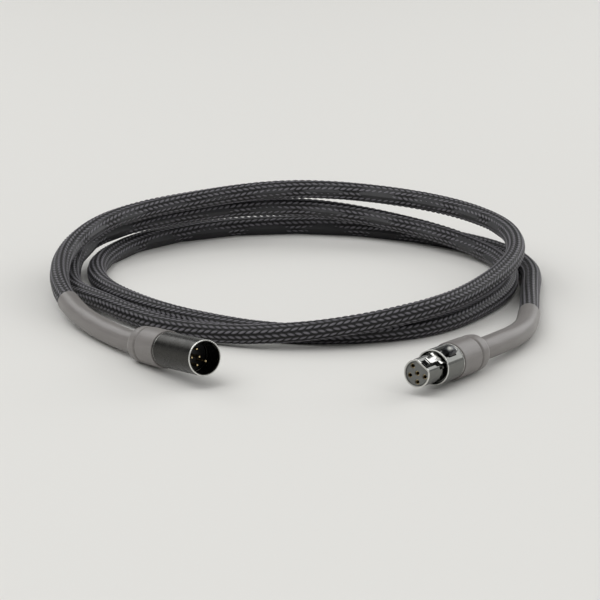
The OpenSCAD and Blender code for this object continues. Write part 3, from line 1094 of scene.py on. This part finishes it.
@dataclass
class WovenCable:
    """The free cable: a woven sleeve over a jacketed core.

    Twelve strands run each way round the cable, each over two and under two, which
    makes twelve columns of slanted picks that lean left and right by turns.
    """

    lay: Lay
    sizes: Sizes = field(default_factory=Sizes)
    strands: int = 12
    pick_pitch: float = 2.28
    crown: float = 0.38
    dip: float = 0.28
    press: float = 0.05
    samples_per_column: int = 6
    starts_behind_boot: float = 2.0
    twist_length: float = 640.0
    seed: int = 11

    def relief(self, along: np.ndarray, angle: np.ndarray) -> tuple[np.ndarray, ...]:
        """Work out the weave's surface.

        Args:
            along: Distance along the cable of each point.
            angle: Angle round the cable of each point.

        Returns:
            The height under the crests, how near each point is to the crest of its
            pick, the distance across the strand on top, and a random number that all
            points of one pick share.
        """
        crossing = self.strands * angle / math.pi
        drift = 2 * along / self.pick_pitch
        left, right = (crossing - drift) / 2, (crossing + drift) / 2
        lift = np.cos(math.pi * (crossing - 0.5) / 2)
        picks, row_step, column_steps = 211, 7, (17, 29)
        round_swell, round_lift, uneven = 0.8, 1.6, 0.1
        tables = np.random.default_rng(self.seed).random((2, picks))
        tops, numbers = [], []
        for table, place, sign, step in zip(tables, (left, right), (1, -1), column_steps):
            off = place - np.round(place)
            column = np.round((crossing - 0.5) / 2).astype(int)
            row = np.round(place).astype(int)
            pick = table[(row * row_step + column * step) % picks]
            swell = np.cos(math.pi * off)
            crest = np.maximum(swell, 0) ** round_swell * np.maximum(sign * lift, 0) ** round_lift
            fullness = 1 - uneven + uneven * pick
            tops.append(self.crown * swell * fullness + self.dip * sign * lift)
            numbers.append((off, pick, crest))
        first = tops[0] >= tops[1]
        off, pick, crest = (np.where(first, a, b) for a, b in zip(*numbers))
        # Where two strands cross they press into each other
        height = self.press * np.logaddexp(tops[0] / self.press, tops[1] / self.press)
        return height - self.crown - self.dip, crest, off * self.strand_width, pick

    @property
    def strand_width(self) -> float:
        """Width of a strand, square to its own run."""
        slope = 2 * math.pi * self.sizes.cord_r / (self.strands * self.pick_pitch)
        return self.pick_pitch * math.sin(math.atan(slope))

    def build(self, yarn: Material, pieces_at_end: Sequence[object]) -> None:
        """Args:
            yarn: The sleeve's material.
            pieces_at_end: The pieces of the plug on its far end. Not used.
        """
        line = self.lay.centreline()
        run = distances(line)
        inside = (run > self.starts_behind_boot) & (run < run[-1] - self.starts_behind_boot)
        line = evenly(line[inside], self.pick_pitch / self.samples_per_column)
        sides = self.strands * self.samples_per_column
        along = distances(line)[:, None]
        angle = np.linspace(0, 2 * math.pi, sides, endpoint=False)[None, :]
        height, crest, across, pick = self.relief(along, angle)
        turned_by = 2 * math.pi * along / self.twist_length
        points = swept(line, self.sizes.cord_r + height, angle + turned_by)
        faces = grid_quads(len(line), sides, False).tolist()
        tips = len(points)
        points = np.concatenate([points, [line[0], line[-1]]])
        end = (len(line) - 1) * sides
        faces += [(tips, k, (k + 1) % sides) for k in range(sides)]
        faces += [(tips + 1, end + (k + 1) % sides, end + k) for k in range(sides)]
        mesh = bpy.data.meshes.new("woven_sleeve")
        mesh.from_pydata((points * MM).tolist(), [], faces)
        smooth_all = 180.0
        sleeve = stand("woven_sleeve", mesh, sharp_deg=smooth_all)
        caps = np.zeros(2)
        rub, rub_power = 0.16, 3
        # relief holds nearness to each pick's crest, which the finish paints as highlight on crests
        # and shade in the gaps
        add_values(
            mesh,
            relief=np.append(crest.ravel(), caps),
            across=np.append(across.ravel(), caps),
            drift=np.append(rub * pick.ravel() ** rub_power, caps),
        )
        dress(sleeve, yarn, Body.ROOT, ["cable_braid"])
        male = self.lay.male
        tuple(male.at(male.exit_depth) * MM)


@dataclass
class HeatShrink:
    """Heat-shrink over a plug's rear and the first stretch of cable."""

    name: str
    node: str
    line: np.ndarray
    length: float = 75.0
    sizes: Sizes = field(default_factory=Sizes)
    shoulder_power: float = 2.9
    shoulder_step: float = 0.12
    crease_half_width: float = 0.5
    crease_depth: float = 0.55
    edge_round: float = 0.16
    sleeve_play: float = 0.1
    ripple: float = 0.025
    ripple_waves: tuple[int, ...] = (1, 2, 3, 5)
    ripple_spans: tuple[float, float] = (9.0, 23.0)
    pleats: int = 11
    pleat_depth: float = 0.035
    pleats_at: float = 0.62
    pleat_spread: float = 2.2
    settles_over: float = 3.0
    sides: int = 72
    fine_step: float = 0.14
    coarse_step: float = 0.5
    seed: int = 3

    def radius(self, s: np.ndarray) -> np.ndarray:
        """Give the outer radius at distances behind the front edge.

        Args:
            s: The distances, in millimetres.

        Returns:
            The radius at each.
        """
        z = self.sizes
        u = np.clip((s - z.boot_len) / z.taper_len, 0, 1)
        neck = z.cord_r + self.sleeve_play + z.shrink_wall
        full = z.boot_r
        fall = (1 + np.cos(np.pi * u**self.shoulder_power)) / 2
        dome = neck + (full - self.shoulder_step - neck) * fall
        out = np.where(s < z.boot_len, full, dome)
        crease = np.exp(-(((s - z.boot_len) / self.crease_half_width) ** 2))
        out = out - self.crease_depth * crease
        front = np.clip(1 - s / self.edge_round, 0, 1)
        back = np.clip(1 - (self.length - s) / self.edge_round, 0, 1)
        rounding = 1 - np.sqrt(np.clip(1 - np.maximum(front, back) ** 2, 0, 1))
        return out - self.edge_round * rounding

    def unevenness(self, s: np.ndarray, angle: np.ndarray) -> np.ndarray:
        """Give the ripple that shrinking leaves, and the pleats where the tube narrows.

        Args:
            s: Distances behind the front edge, as a column.
            angle: Angles round the tube, as a row.

        Returns:
            What to add to the radius at each distance and angle.
        """
        rng = np.random.default_rng(self.seed)
        out = np.zeros(np.broadcast_shapes(s.shape, angle.shape))
        for waves in self.ripple_waves:
            turn, travel = rng.random(2) * 2 * np.pi
            span = rng.uniform(*self.ripple_spans)
            phase = waves * angle + turn + 2 * np.pi * s / span + travel
            out += self.ripple / waves * np.cos(phase)
        z = self.sizes
        middle, most_of_a_turn = z.boot_len + self.pleats_at * z.taper_len, 6
        fold = np.exp(-(((s - middle) / self.pleat_spread) ** 2))
        first = rng.random() * most_of_a_turn
        out += self.pleat_depth * fold * np.cos(self.pleats * angle + first)
        return out * np.clip(s / self.settles_over, 0, 1)

    def build(self, tube: Material) -> Object:
        """Make the skin.

        Args:
            tube: Its material.

        Returns:
            The piece.
        """
        past_exit, end_band, end_rings, lip_rings = 2, 1, 9, 5
        fine_until = self.sizes.exit_after + past_exit
        fine = np.arange(0, fine_until, self.fine_step)
        coarse = np.arange(fine_until, self.length - end_band, self.coarse_step)
        end = np.linspace(self.length - end_band, self.length, end_rings)
        lip = np.linspace(0, self.edge_round, lip_rings)[1:]
        s = np.unique(np.concatenate([fine, lip, coarse, end]))
        run = distances(self.line)
        line = np.stack([np.interp(s, run, self.line[:, k]) for k in range(3)], axis=-1)
        angle = np.linspace(0, 2 * np.pi, self.sides, endpoint=False)[None, :]
        outer = self.radius(s)[:, None] + self.unevenness(s[:, None], angle)
        inner = np.minimum(outer, self.radius(s)[:, None]) - self.sizes.shrink_wall
        angles = np.broadcast_to(angle, outer.shape)
        points = np.concatenate(
            [swept(line, outer, angles), swept(line[::-1], inner[::-1], angles)]
        )
        piece = make_piece(self.name, points, grid_quads(2 * len(s), self.sides, True))
        both = np.concatenate([s, s[::-1]])
        along = np.broadcast_to(both[:, None], (2 * len(s), self.sides))
        around = np.broadcast_to(angle * self.sizes.cord_r, (2 * len(s), self.sides))
        add_values(piece.data, along=along, around=np.abs(around - np.pi * self.sizes.cord_r))
        return dress(piece, tube, Body.ROOT, [self.node])


@dataclass
class MalePlug:
    """The five pin plug's shell. Its insert and pins stay as the frame has them."""

    place: PlugPlace
    sizes: Sizes = field(default_factory=Sizes)
    flat_r: float = 4.7
    flat_front: float = 0.5
    flat_back: float = 8.4
    groove: tuple[float, float] = (5.55, 7.65)
    groove_r: float = 5.2
    seam_depth: float = 22.1
    seam_width: float = 0.22
    seam_drop: float = 0.12
    edge_round: float = 0.2

    def build(self, metal: Material) -> None:
        """Turn the shell.

        Args:
            metal: Its material.
        """
        z = self.sizes
        back = self.place.boot_start + z.shell_tuck
        ledge = 0.03
        # Painted highlight lines: full on the mouth's rim, weaker on the seam's back edge
        seam_r, half_highlight = z.shell_r - self.seam_drop, 0.4
        rings = [
            Ring(z.shell_ri, 0), Ring(z.shell_r, 0, edge=1),
            Ring(z.shell_r, self.seam_depth), Ring(seam_r, self.seam_depth + ledge),
            Ring(seam_r, self.seam_depth + self.seam_width - ledge),
            Ring(z.shell_r, self.seam_depth + self.seam_width, edge=half_highlight),
            Ring(z.shell_r, back), Ring(z.shell_ri, back),
            Ring(z.shell_ri, self.flat_back),
            Ring(z.shell_ri, self.flat_back - ledge, self.flat_r),
            Ring(z.shell_ri, self.groove[1], self.flat_r),
            Ring(self.groove_r, self.groove[1] - ledge),
            Ring(self.groove_r, self.groove[0] + ledge),
            Ring(z.shell_ri, self.groove[0], self.flat_r),
            Ring(z.shell_ri, self.flat_front + ledge, self.flat_r),
            Ring(z.shell_ri, self.flat_front),
        ]
        shell = turned(
            "male_barrel", soften(rings, self.edge_round), self.place.key_deg, self.place.frame()
        )
        dress(shell, metal, Body.ROOT, ["male_shell"])


@dataclass
class FemalePlug:
    """The latching plug's barrel, contact nose and insulator."""

    place: PlugPlace
    sizes: Sizes = field(default_factory=Sizes)
    nose_len: float = 9.7
    nose_r: float = 4.3
    nose_ri: float = 3.65
    flat_r: float = 3.6
    flat_ri: float = 2.95
    flat_back: float = 10.7
    flanges: tuple[tuple[float, float], ...] = ((11.1, 11.7), (17.2, 19.2))
    insert_face: float = 0.3
    insert_back: float = 11.7
    contact_ring_r: float = 2.62
    contacts: int = 5
    contact_step: float = 72.0
    hole_r: float = 0.75
    hole_flare: float = 0.14
    slot_w: float = 2.6
    slot_front: float = 0.7
    slot_low: float = 2.47
    lip_room_w: float = 2.0
    lip_room_back: float = 1.4
    lip_room_low: float = 1.95
    tab_room_w: float = 6.4
    tab_room: tuple[float, float] = (6.6, 9.0)
    tab_room_low: float = 2.77
    window_w: float = 3.7
    window_len: float = 4.6
    window_mid: float = 14.1
    screw_depth: float = 18.2
    screw_hole_r: float = 0.8
    seam_ahead: float = 0.55
    seam_width: float = 0.18
    seam_drop: float = 0.14
    edge_round: float = 0.18

    def barrel(self, metal: Material) -> Object:
        """Turn the outer shell and cut its window and screw hole.

        Args:
            metal: Its material.

        Returns:
            The piece.
        """
        z = self.sizes
        back = self.place.boot_start + z.shell_tuck
        seam = self.place.boot_start - self.seam_ahead
        seam_end = seam + self.seam_width
        ledge, seam_r = 0.03, z.shell_r - self.seam_drop
        # Painted highlight lines on the rim by the nose and on the seam's back edge
        rings = [
            Ring(z.shell_ri, self.nose_len), Ring(z.shell_r, self.nose_len, edge=1),
            Ring(z.shell_r, seam), Ring(seam_r, seam + ledge),
            Ring(seam_r, seam_end), Ring(z.shell_r, seam_end + ledge, edge=1),
            Ring(z.shell_r, back), Ring(z.shell_ri, back),
        ]
        shell = turned("female_barrel", soften(rings, self.edge_round), 0, self.place.frame())
        keyed = self.place.frame(keyed=True)
        half, low, high = self.window_len / 2, 2, 7
        window = box_cutter(
            "window", keyed, self.window_w, low, high,
            self.window_mid - half, self.window_mid + half,
        )
        drill = self._drill("screw_hole", keyed, self.screw_hole_r, low, high, self.screw_depth)
        carve(shell, [window, drill])
        return dress(shell, metal, Body.ROOT, ["female_shell"])

    def _drill(
        self, name: str, keyed: Matrix, radius: float, low: float, high: float, depth: float
    ) -> Object:
        """Make a round cutter that stands along the key's direction.

        Args:
            name: The cutter's name.
            keyed: The plug's keyed frame.
            radius: Its radius.
            low: Its lowest distance from the plug's axis.
            high: Its highest.
            depth: Its depth behind the face.

        Returns:
            The cutter.
        """
        sides = 40
        angle = np.linspace(0, 2 * np.pi, sides, endpoint=False)
        x, w = radius * np.cos(angle), radius * np.sin(angle) - depth
        rows = [np.stack([x, np.full(sides, y), w], axis=-1) for y in (low, high)]
        faces = grid_quads(2, sides, False).tolist()
        faces += [list(range(sides)), list(range(sides, 2 * sides))]
        return make_piece(name, np.concatenate(rows), faces, keyed)

    def nose(self, metal: Material) -> Object:
        """Turn the contact nose and mill the latch's slot.

        Args:
            metal: Its material.

        Returns:
            The piece.
        """
        flange_r = self.sizes.shell_ri - self.sizes.fit
        (one, two), (three, four) = self.flanges
        # Painted highlight lines: full on the nose's outer rim, faint on its inner rim
        ledge, faint_highlight = 0.03, 0.2
        rings = [
            Ring(self.nose_ri, 0, self.flat_ri, faint_highlight), Ring(self.nose_r, 0, self.flat_r, 1),
            Ring(self.nose_r, self.flat_back, self.flat_r),
            Ring(self.nose_r, self.flat_back + ledge),
            Ring(self.nose_r, one), Ring(flange_r, one), Ring(flange_r, two),
            Ring(self.nose_r, two), Ring(self.nose_r, three), Ring(flange_r, three),
            Ring(flange_r, four), Ring(self.nose_ri, four),
            Ring(self.nose_ri, self.insert_back + ledge),
            Ring(self.nose_ri, self.insert_back, self.flat_ri),
        ]
        nose = turned(
            "contact_nose", soften(rings, self.edge_round), self.place.key_deg, self.place.frame()
        )
        carve(nose, self._latch_room())
        return dress(nose, metal, Body.ROOT, ["female_nose"])

    def _latch_room(self) -> list[Object]:
        """Make cutters for the slot that the latch swings in, its lip and its tabs.

        Returns:
            The cutters.
        """
        keyed, front, high, past_back = self.place.frame(keyed=True), self.slot_front, 6.0, 20.5
        # No two cutters have faces in one plane
        apart, higher = 0.005, 0.1
        return [
            box_cutter("latch_slot", keyed, self.slot_w, self.slot_low, high, front, past_back),
            box_cutter(
                "lip_room", keyed, self.lip_room_w, self.lip_room_low, high, front - apart,
                self.lip_room_back,
            ),
            box_cutter(
                "tab_room", keyed, self.tab_room_w, self.tab_room_low, high + higher, *self.tab_room
            ),
        ]

    def socket_face(self, plastic: Material) -> Object:
        """Mould the insulator, with a flared hole for each contact.

        Args:
            plastic: Its material.

        Returns:
            The piece.
        """
        r, flat = self.nose_ri - self.sizes.fit, self.flat_ri - self.sizes.fit
        rings = [
            Ring(TIP_R, self.insert_face, flat), Ring(r, self.insert_face, flat),
            Ring(r, self.insert_back, flat), Ring(TIP_R, self.insert_back, flat),
        ]
        face = turned(
            "socket_insulator", soften(rings, self.edge_round / 2), self.place.key_deg,
            self.place.frame(),
        )
        cutters = [self._contact_drill(i) for i in range(self.contacts)]
        carve(face, cutters + self._latch_room())
        return dress(face, plastic, Body.ROOT, ["female_insert"])

    def _contact_drill(self, number: int) -> Object:
        """Make the flared cutter for one contact's hole. Number 0 is in the middle.

        Args:
            number: The contact's number.

        Returns:
            The cutter.
        """
        angle = math.radians(self.place.key_deg + number * self.contact_step)
        away = self.contact_ring_r if number else 0.0
        shift = Matrix.Translation(
            Vector((away * math.sin(angle) * MM, away * math.cos(angle) * MM, 0))
        )
        flare_r, clear, sides = self.hole_r + self.hole_flare, 1, 40
        back = self.insert_back + clear
        rings = [
            Ring(TIP_R, -clear), Ring(flare_r, -clear), Ring(flare_r, self.insert_face),
            Ring(self.hole_r, self.insert_face + self.hole_flare),
            Ring(self.hole_r, back), Ring(TIP_R, back),
        ]
        return turned(f"drill_{number}", rings, 0, self.place.frame() @ shift, sides)


@dataclass
class Latch:
    """The latch strip, its thumb button, and the set screw behind it."""

    place: PlugPlace
    strip_w: float = 2.2
    strip_t: float = 0.4
    strip_low: float = 3.8
    strip_back: float = 19.1
    step: tuple[float, float] = (8.9, 9.4)
    plate_rise: float = 0.4
    front: float = 0.85
    lip_w: float = 1.6
    lip_low: float = 3.7
    hook_h: float = 0.3
    hook_back: float = 2.75
    tab_w: float = 4.7
    tab_front: float = 6.8
    tab_back: float = 8.8
    tab_low: float = 4.0
    button_w: float = 3.4
    button_len: float = 4.3
    button_mid: float = 14.1
    button_top: float = 7.4
    button_low: float = 4.28
    button_foot: float = 4.6
    # The painted highlight on the button's crown: its radius, and how far ahead of the middle it
    # sits
    painted_highlight_r: float = 0.75
    painted_highlight_ahead: float = 1.2
    screw_depth: float = 18.2
    screw_r: float = 0.75
    screw_top: float = 5.45
    screw_low: float = 4.3
    screw_slot: float = 0.35
    bevel: float = 0.08

    def _side_slice(
        self, width: float, side_view: Sequence[tuple[float, float]]
    ) -> Mesh:
        """Make a prism across the latch from its side view, as depths and heights.

        Args:
            width: Its width across the latch.
            side_view: Its corners, as depth and height.

        Returns:
            The prism's mesh, in millimetres.
        """
        upright = Matrix(((0, 0, 1, 0), (0, 1, 0, 0), (-1, 0, 0, 0), (0, 0, 0, 1)))
        place = Matrix.Translation((-width / 2, 0, 0)) @ upright
        return bevelled_prism(side_view, width, self.bevel, place)

    def strip(self, steel: Material) -> Object:
        """Stamp the strip, bend its step, lip and side tabs, raise its hook, and paint shade on its
        walls.

        Args:
            steel: Its material.

        Returns:
            The piece.
        """
        low, high = self.strip_low, self.strip_low + self.strip_t
        plate_low, plate_high = low + self.plate_rise, high + self.plate_rise
        step_front, step_back = self.step
        nib, notch, bend, draft = 0.5, 0.5, 0.1, 0.02
        hook_high, lip_back = plate_high + self.hook_h, self.front + nib
        body = [
            (self.strip_back, low), (self.strip_back, high), (step_back, high),
            (step_front, plate_high), (self.hook_back, plate_high),
            (self.hook_back - draft, hook_high), (lip_back + notch, hook_high),
            (lip_back + notch - bend, plate_high - bend), (lip_back, plate_high - bend),
            (lip_back, plate_low), (step_front, plate_low), (step_back, low),
        ]
        lip = [
            (self.front, self.lip_low), (self.front, hook_high - bend / 2),
            (lip_back, hook_high - bend / 2), (lip_back + draft, plate_low),
            (self.front + self.strip_t, self.lip_low),
        ]
        tab = [
            (self.tab_front, self.tab_low), (self.tab_front, self.tab_low + self.strip_t),
            (self.tab_back, self.tab_low + self.strip_t), (self.tab_back, self.tab_low),
        ]
        solids = [
            self._side_slice(self.strip_w, body), self._side_slice(self.lip_w, lip),
            self._side_slice(self.tab_w, tab),
        ]
        piece = joined("latch_strip", solids, self.place.frame(keyed=True))
        # Faces that turn away from the top, the strip's walls, are painted near-black as shade
        facing_up = np.array([vertex.normal.y for vertex in piece.data.vertices])
        painted_shade_below, blend = 0.78, 0.3
        add_values(piece.data, edge=np.clip((painted_shade_below - facing_up) / blend, 0, 1))
        return dress(piece, steel, Body.LATCH, ["latch_lever"])

    def button(self, chrome: Material) -> Object:
        """Cast the crowned thumb button, with the rib that bears on the strip, and paint a
        highlight on its crown.

        Args:
            chrome: Its material.

        Returns:
            The piece.
        """
        sides, squareness = 96, 4.5
        angle = np.linspace(0, 2 * np.pi, sides, endpoint=False)
        c, s = np.cos(angle), np.sin(angle)
        x = self.button_w / 2 * np.sign(c) * np.abs(c) ** (2 / squareness)
        w = self.button_len / 2 * np.sign(s) * np.abs(s) ** (2 / squareness)
        edge, edge_share, crown, crown_power = 0.35, 0.12, 0.75, 2.8
        edge_steps, crown_steps, foot = 7, 10, self.button_foot
        rim, inner = self.button_top - crown, 1 - edge_share
        levels = [(TIP_R, foot), (1, foot), (1, rim - edge)]
        for t in np.linspace(0, 1, edge_steps)[1:]:
            turn = t * math.pi / 2
            share = 1 - edge_share * (1 - math.cos(turn))
            levels.append((share, rim - edge * (1 - math.sin(turn))))
        for t in np.linspace(1, 0, crown_steps)[1:]:
            share = max(t * inner, TIP_R)
            levels.append((share, self.button_top - crown * (share / inner) ** crown_power))
        rows = [
            np.stack([share * x, np.full(sides, y), share * w - self.button_mid], axis=-1)
            for share, y in levels
        ]
        mesh = bpy.data.meshes.new("button_body")
        faces = grid_quads(len(rows), sides, True).tolist()
        mesh.from_pydata(np.concatenate(rows).tolist(), [], faces)
        lying = Matrix.Rotation(math.radians(90), 4, "X")
        half, mid = self.strip_w / 2, self.button_mid
        rib_t, rib_bevel, sunk = 0.5, 0.03, 0.2
        rib = [(-half, rib_t - mid), (half, rib_t - mid), (half, -mid), (-half, -mid)]
        top = foot + sunk
        low = bevelled_prism(
            rib, top - self.button_low, rib_bevel, Matrix.Translation((0, top, 0)) @ lying
        )
        piece = joined("thumb_button", [mesh, low], self.place.frame(keyed=True))
        # A painted highlight on the crown, a little ahead of its middle, in the pale painted light
        # colour
        spots = np.array([vertex.co for vertex in piece.data.vertices]) / MM
        off = np.hypot(spots[:, 0], spots[:, 2] + mid - self.painted_highlight_ahead)
        bright_middle = 1.3
        painted_highlight = np.clip(bright_middle - off / self.painted_highlight_r, 0, 1) * (spots[:, 1] > rim)
        add_values(piece.data, edge=painted_highlight)
        return dress(piece, chrome, Body.BUTTON, ["latch_button"])

    def set_screw(self, steel: Material) -> Object:
        """Turn the set screw and saw its slot.

        Args:
            steel: Its material.

        Returns:
            The piece.
        """
        keyed = self.place.frame(keyed=True)
        upright = Matrix.Translation((0, 0, -self.screw_depth * MM)) @ Matrix.Rotation(
            math.radians(-90), 4, "X"
        )
        chamfer, sides = 0.12, 48
        rings = [
            Ring(TIP_R, -self.screw_top), Ring(self.screw_r - chamfer, -self.screw_top),
            Ring(self.screw_r, chamfer - self.screw_top), Ring(self.screw_r, -self.screw_low),
            Ring(TIP_R, -self.screw_low),
        ]
        screw = turned("set_screw", rings, 0, keyed @ upright, sides)
        half, saw_w, slot_deep, clear = self.screw_slot / 2, 3, 0.4, 1
        saw = box_cutter(
            "saw", keyed, saw_w, self.screw_top - slot_deep, self.screw_top + clear,
            self.screw_depth - half, self.screw_depth + half,
        )
        carve(screw, [saw])
        return dress(screw, steel, Body.ROOT, ["female_set_screw"])


# ---- The studio ------------------------------------------------------------------


@dataclass(frozen=True)
class SoftBox:
    """A soft studio lamp."""

    name: str
    place_mm: tuple[float, float, float]
    size_mm: tuple[float, float]
    power_w: float

    def build(self, target_mm: Sequence[float]) -> None:
        """Hang the lamp and aim it.

        Args:
            target_mm: The point that it shines at.
        """
        lamp = bpy.data.lights.new(self.name, "AREA")
        lamp.shape = "RECTANGLE"
        lamp.size, lamp.size_y = (side * MM for side in self.size_mm)
        lamp.energy = self.power_w
        stand_at = linked(self.name, lamp)
        stand_at.location = Vector(self.place_mm) * MM
        way = (Vector(target_mm) - Vector(self.place_mm)).normalized()
        stand_at.rotation_euler = way.to_track_quat("-Z", "Y").to_euler()


@dataclass(frozen=True)
class Studio:
    """The camera, the lamps, the room's light and the floor."""

    eye_mm: tuple[float, float, float] = (1.0, -1165.5, 293.1)
    pitch_deg: float = 14.0
    lens_mm: float = 222.4
    sensor_mm: float = 36.0
    target_mm: tuple[float, float, float] = (0.0, 0.0, 10.0)
    floor_mm: float = 12000.0
    wall_light: float = 0.2
    ceiling_light: float = 0.8
    horizon_light: float = 0.5
    ceiling_band: tuple[float, float] = (0.45, 0.9)
    horizon_band: tuple[float, float] = (0.1, 0.22)
    room_colour: str = "#f1f1ef"
    lamps: tuple[SoftBox, ...] = (
        SoftBox("key", (-520, -420, 900), (1400, 1000), 5.7),
        SoftBox("rim", (760, 530, 430), (1000, 600), 3.4),
        SoftBox("far", (-600, 650, 560), (700, 400), 1.6),
        SoftBox("strip", (560, -560, 360), (180, 700), 0.9),
    )

    def camera(self) -> None:
        """Stand the camera at the viewing place."""
        view = bpy.data.cameras.new("camera")
        view.lens = self.lens_mm
        view.sensor_width = self.sensor_mm
        camera = linked("camera", view)
        camera.location = Vector(self.eye_mm) * MM
        camera.rotation_euler = (math.radians(90 - self.pitch_deg), 0, 0)
        bpy.context.scene.camera = camera

    def light(self) -> None:
        """Light the room softly and hang the lamps."""
        world = bpy.data.worlds.new("room")
        world.use_nodes = True
        tree = world.node_tree
        tree.nodes.clear()
        way = add_node(tree, "TexCoord").outputs["Generated"]
        rise = add_node(tree, "SeparateXYZ", {"Vector": way}).outputs["Z"]
        ceiling, horizon = (
            add_node(tree, "MapRange", {
                "Value": rise, "From Min": band[0], "From Max": band[1],
                "To Min": low, "To Max": high,
            }, interpolation_type="SMOOTHSTEP").outputs["Result"]
            for band, low, high in (
                (self.ceiling_band, self.wall_light, self.ceiling_light),
                (self.horizon_band, self.horizon_light, 0.0),
            )
        )
        level = add_node(tree, "Math", {0: ceiling, 1: horizon}, operation="ADD")
        glow = add_node(tree, "Background", {
            "Color": linear(self.room_colour), "Strength": level.outputs["Value"],
        })
        add_node(tree, "OutputWorld", {"Surface": glow.outputs["Background"]})
        bpy.context.scene.world = world
        for lamp in self.lamps:
            lamp.build(self.target_mm)

    def floor(self, paper: Material) -> None:
        """Lay the floor under the object.

        Args:
            paper: Its material.
        """
        half = self.floor_mm / 2 * MM
        mesh = bpy.data.meshes.new("floor")
        corners = [(-half, -half, 0), (half, -half, 0), (half, half, 0), (-half, half, 0)]
        mesh.from_pydata(corners, [], [(0, 1, 2, 3)])
        mesh.materials.append(paper)
        linked("floor", mesh)


# ---- The order of work -------------------------------------------------------------


def finishes() -> dict[str, Material]:
    """Make every material, by the name of the record's slot that it stands for.

    Returns:
        The materials, by slot.
    """
    made = {
        # Braided multifilament: painted highlight on each pick's crest, painted shade between them
        "nylon_braid": WovenYarn("braided_nylon_yarn", "#6c6a70", 0.46),
        # Shrunk sleeve: an even warm grey with a broad satin highlight
        "heat_shrink_grey": ShrunkTube("shrunk_grey_polyolefin", "#74706e", 0.36),
        # Blasted, then plated: a smoky metal with a soft-edged highlight, and painted highlight
        # lines on its rims
        "black_nickel_satin": PlatedMetal(
            "satin_black_nickel", "#2b2a27", 0.27, cloud_colour="#393833", grit_depth_mm=0.001
        ),
        # Polished before plating: hard bright streaks on a dark mirror, and painted highlight lines
        # on its rims
        "black_chrome": PlatedMetal(
            "polished_black_chrome", "#6b6c69", 0.1, cloud_colour="#7e7f7c"
        ),
        # Rolled strip, barrelled and nickel plated: the brightest metal here, with near-black
        # painted shade on its walls
        "latch_steel": PlatedMetal(
            "nickel_plated_spring_steel", "#d4d4d0", 0.15, Marks.ACROSS_THE_STRIP,
            painted_light_colour="#1d1e1e", mark_spacing_mm=0.1, cloud_colour="#c2c2bd",
        ),
        # Die cast and polished: a dark dome, with a painted highlight on its crown
        "button_chrome": PlatedMetal(
            "die_cast_black_chrome", "#3a3b3d", 0.09, cloud_colour="#454648"
        ),
        # Plain turned steel: grey, duller than the plating round it
        "screw_steel": PlatedMetal("turned_steel", "#b4b5b3", 0.22, cloud_colour="#9c9d9b"),
        # Gold over bronze: warm points in the dark mouths
        "gold_contacts": PlatedMetal("gold_plated_bronze", "#cfbb90", 0.2, cloud_colour="#b9a06c"),
        # Inner pieces
        "collet_metal": PlatedMetal("nickel_plated_brass", "#a5a49e", 0.25),
        "bushing_metal": PlatedMetal("black_nickel_on_zinc", "#55544f", 0.3),
        "black_insulator": MouldedPlastic(
            "moulded_black_nylon", "#141416", 0.45, 1.53, shade_colour="#1f1f22"
        ),
        "grey_insulator": MouldedPlastic(
            "moulded_grey_polyester", "#666764", 0.36, 1.57, shade_colour="#474846"
        ),
        "cable_jacket": MouldedPlastic("extruded_black_jacket", "#232326", 0.5),
        "wire_insulation": MouldedPlastic(
            "extruded_red_insulation", "#a5382c", 0.4, shade_colour="#8e2f25"
        ),
    }
    return {slot: finish.build() for slot, finish in made.items()}


def dress_frame_nodes(frame: dict, made: dict[str, Material]) -> None:
    """Give the frame's own nodes that stay in view their finishes.

    Args:
        made: The materials, by slot.
    """
    staying = {
        "cable_core": "cable_jacket",
        "male_insert": "black_insulator",
        "male_pins": "gold_contacts",
        "male_wires": "wire_insulation",
        "male_chuck": "collet_metal",
        "male_bushing": "bushing_metal",
        "female_sockets": "gold_contacts",
        "female_wires": "wire_insulation",
        "female_chuck": "collet_metal",
        "female_bushing": "bushing_metal",
    }
    for name, slot in staying.items():
        node = frame["nodes"][name]
        for place in node.material_slots:
            place.material = made[slot]
        LOG.info("%s keeps its shape, in %s", name, made[slot].name)


def build_lead(made: dict[str, Material]) -> None:
    """Build the lead's own pieces: the far plug's, then the cable, then the near plug's.

    Args:
        made: The materials, by slot.
    """
    male = PlugPlace(-27.3, -100, 31, 6.5, boot_start=23, key_deg=56)
    female = PlugPlace(35.4, -108.6, -31, 2.4, boot_start=20, key_deg=34)
    lay = Lay(male, female)
    line = lay.centreline()
    plug, latch = FemalePlug(female), Latch(female)
    grey = made["heat_shrink_grey"]
    on_far_end = [
        plug.barrel(made["black_chrome"]),
        plug.nose(made["black_chrome"]),
        plug.socket_face(made["grey_insulator"]),
        latch.strip(made["latch_steel"]),
        latch.button(made["button_chrome"]),
        latch.set_screw(made["screw_steel"]),
        HeatShrink("female_shrink", "female_heat_shrink", line[::-1], seed=5).build(grey),
        "female_sockets",
        "female_bushing",
    ]
    WovenCable(lay).build(made["nylon_braid"], on_far_end)
    MalePlug(male).build(made["black_nickel_satin"])
    HeatShrink("male_shrink", "male_heat_shrink", line).build(grey)


def main() -> None:
    """Load the frame and build the scene round it."""
    logging.basicConfig(level=logging.INFO, format="%(name)s: %(message)s")
    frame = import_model()
    studio = Studio()
    studio.camera()
    made = finishes()
    build_lead(made)
    dress_frame_nodes(frame, made)
    studio.floor(PaperSweep("matt_studio_paper", "#e4e3e0", 0.9).build())
    studio.light()
    bpy.context.scene.view_settings.view_transform = "Standard"


if __name__ == "__main__":
    main()
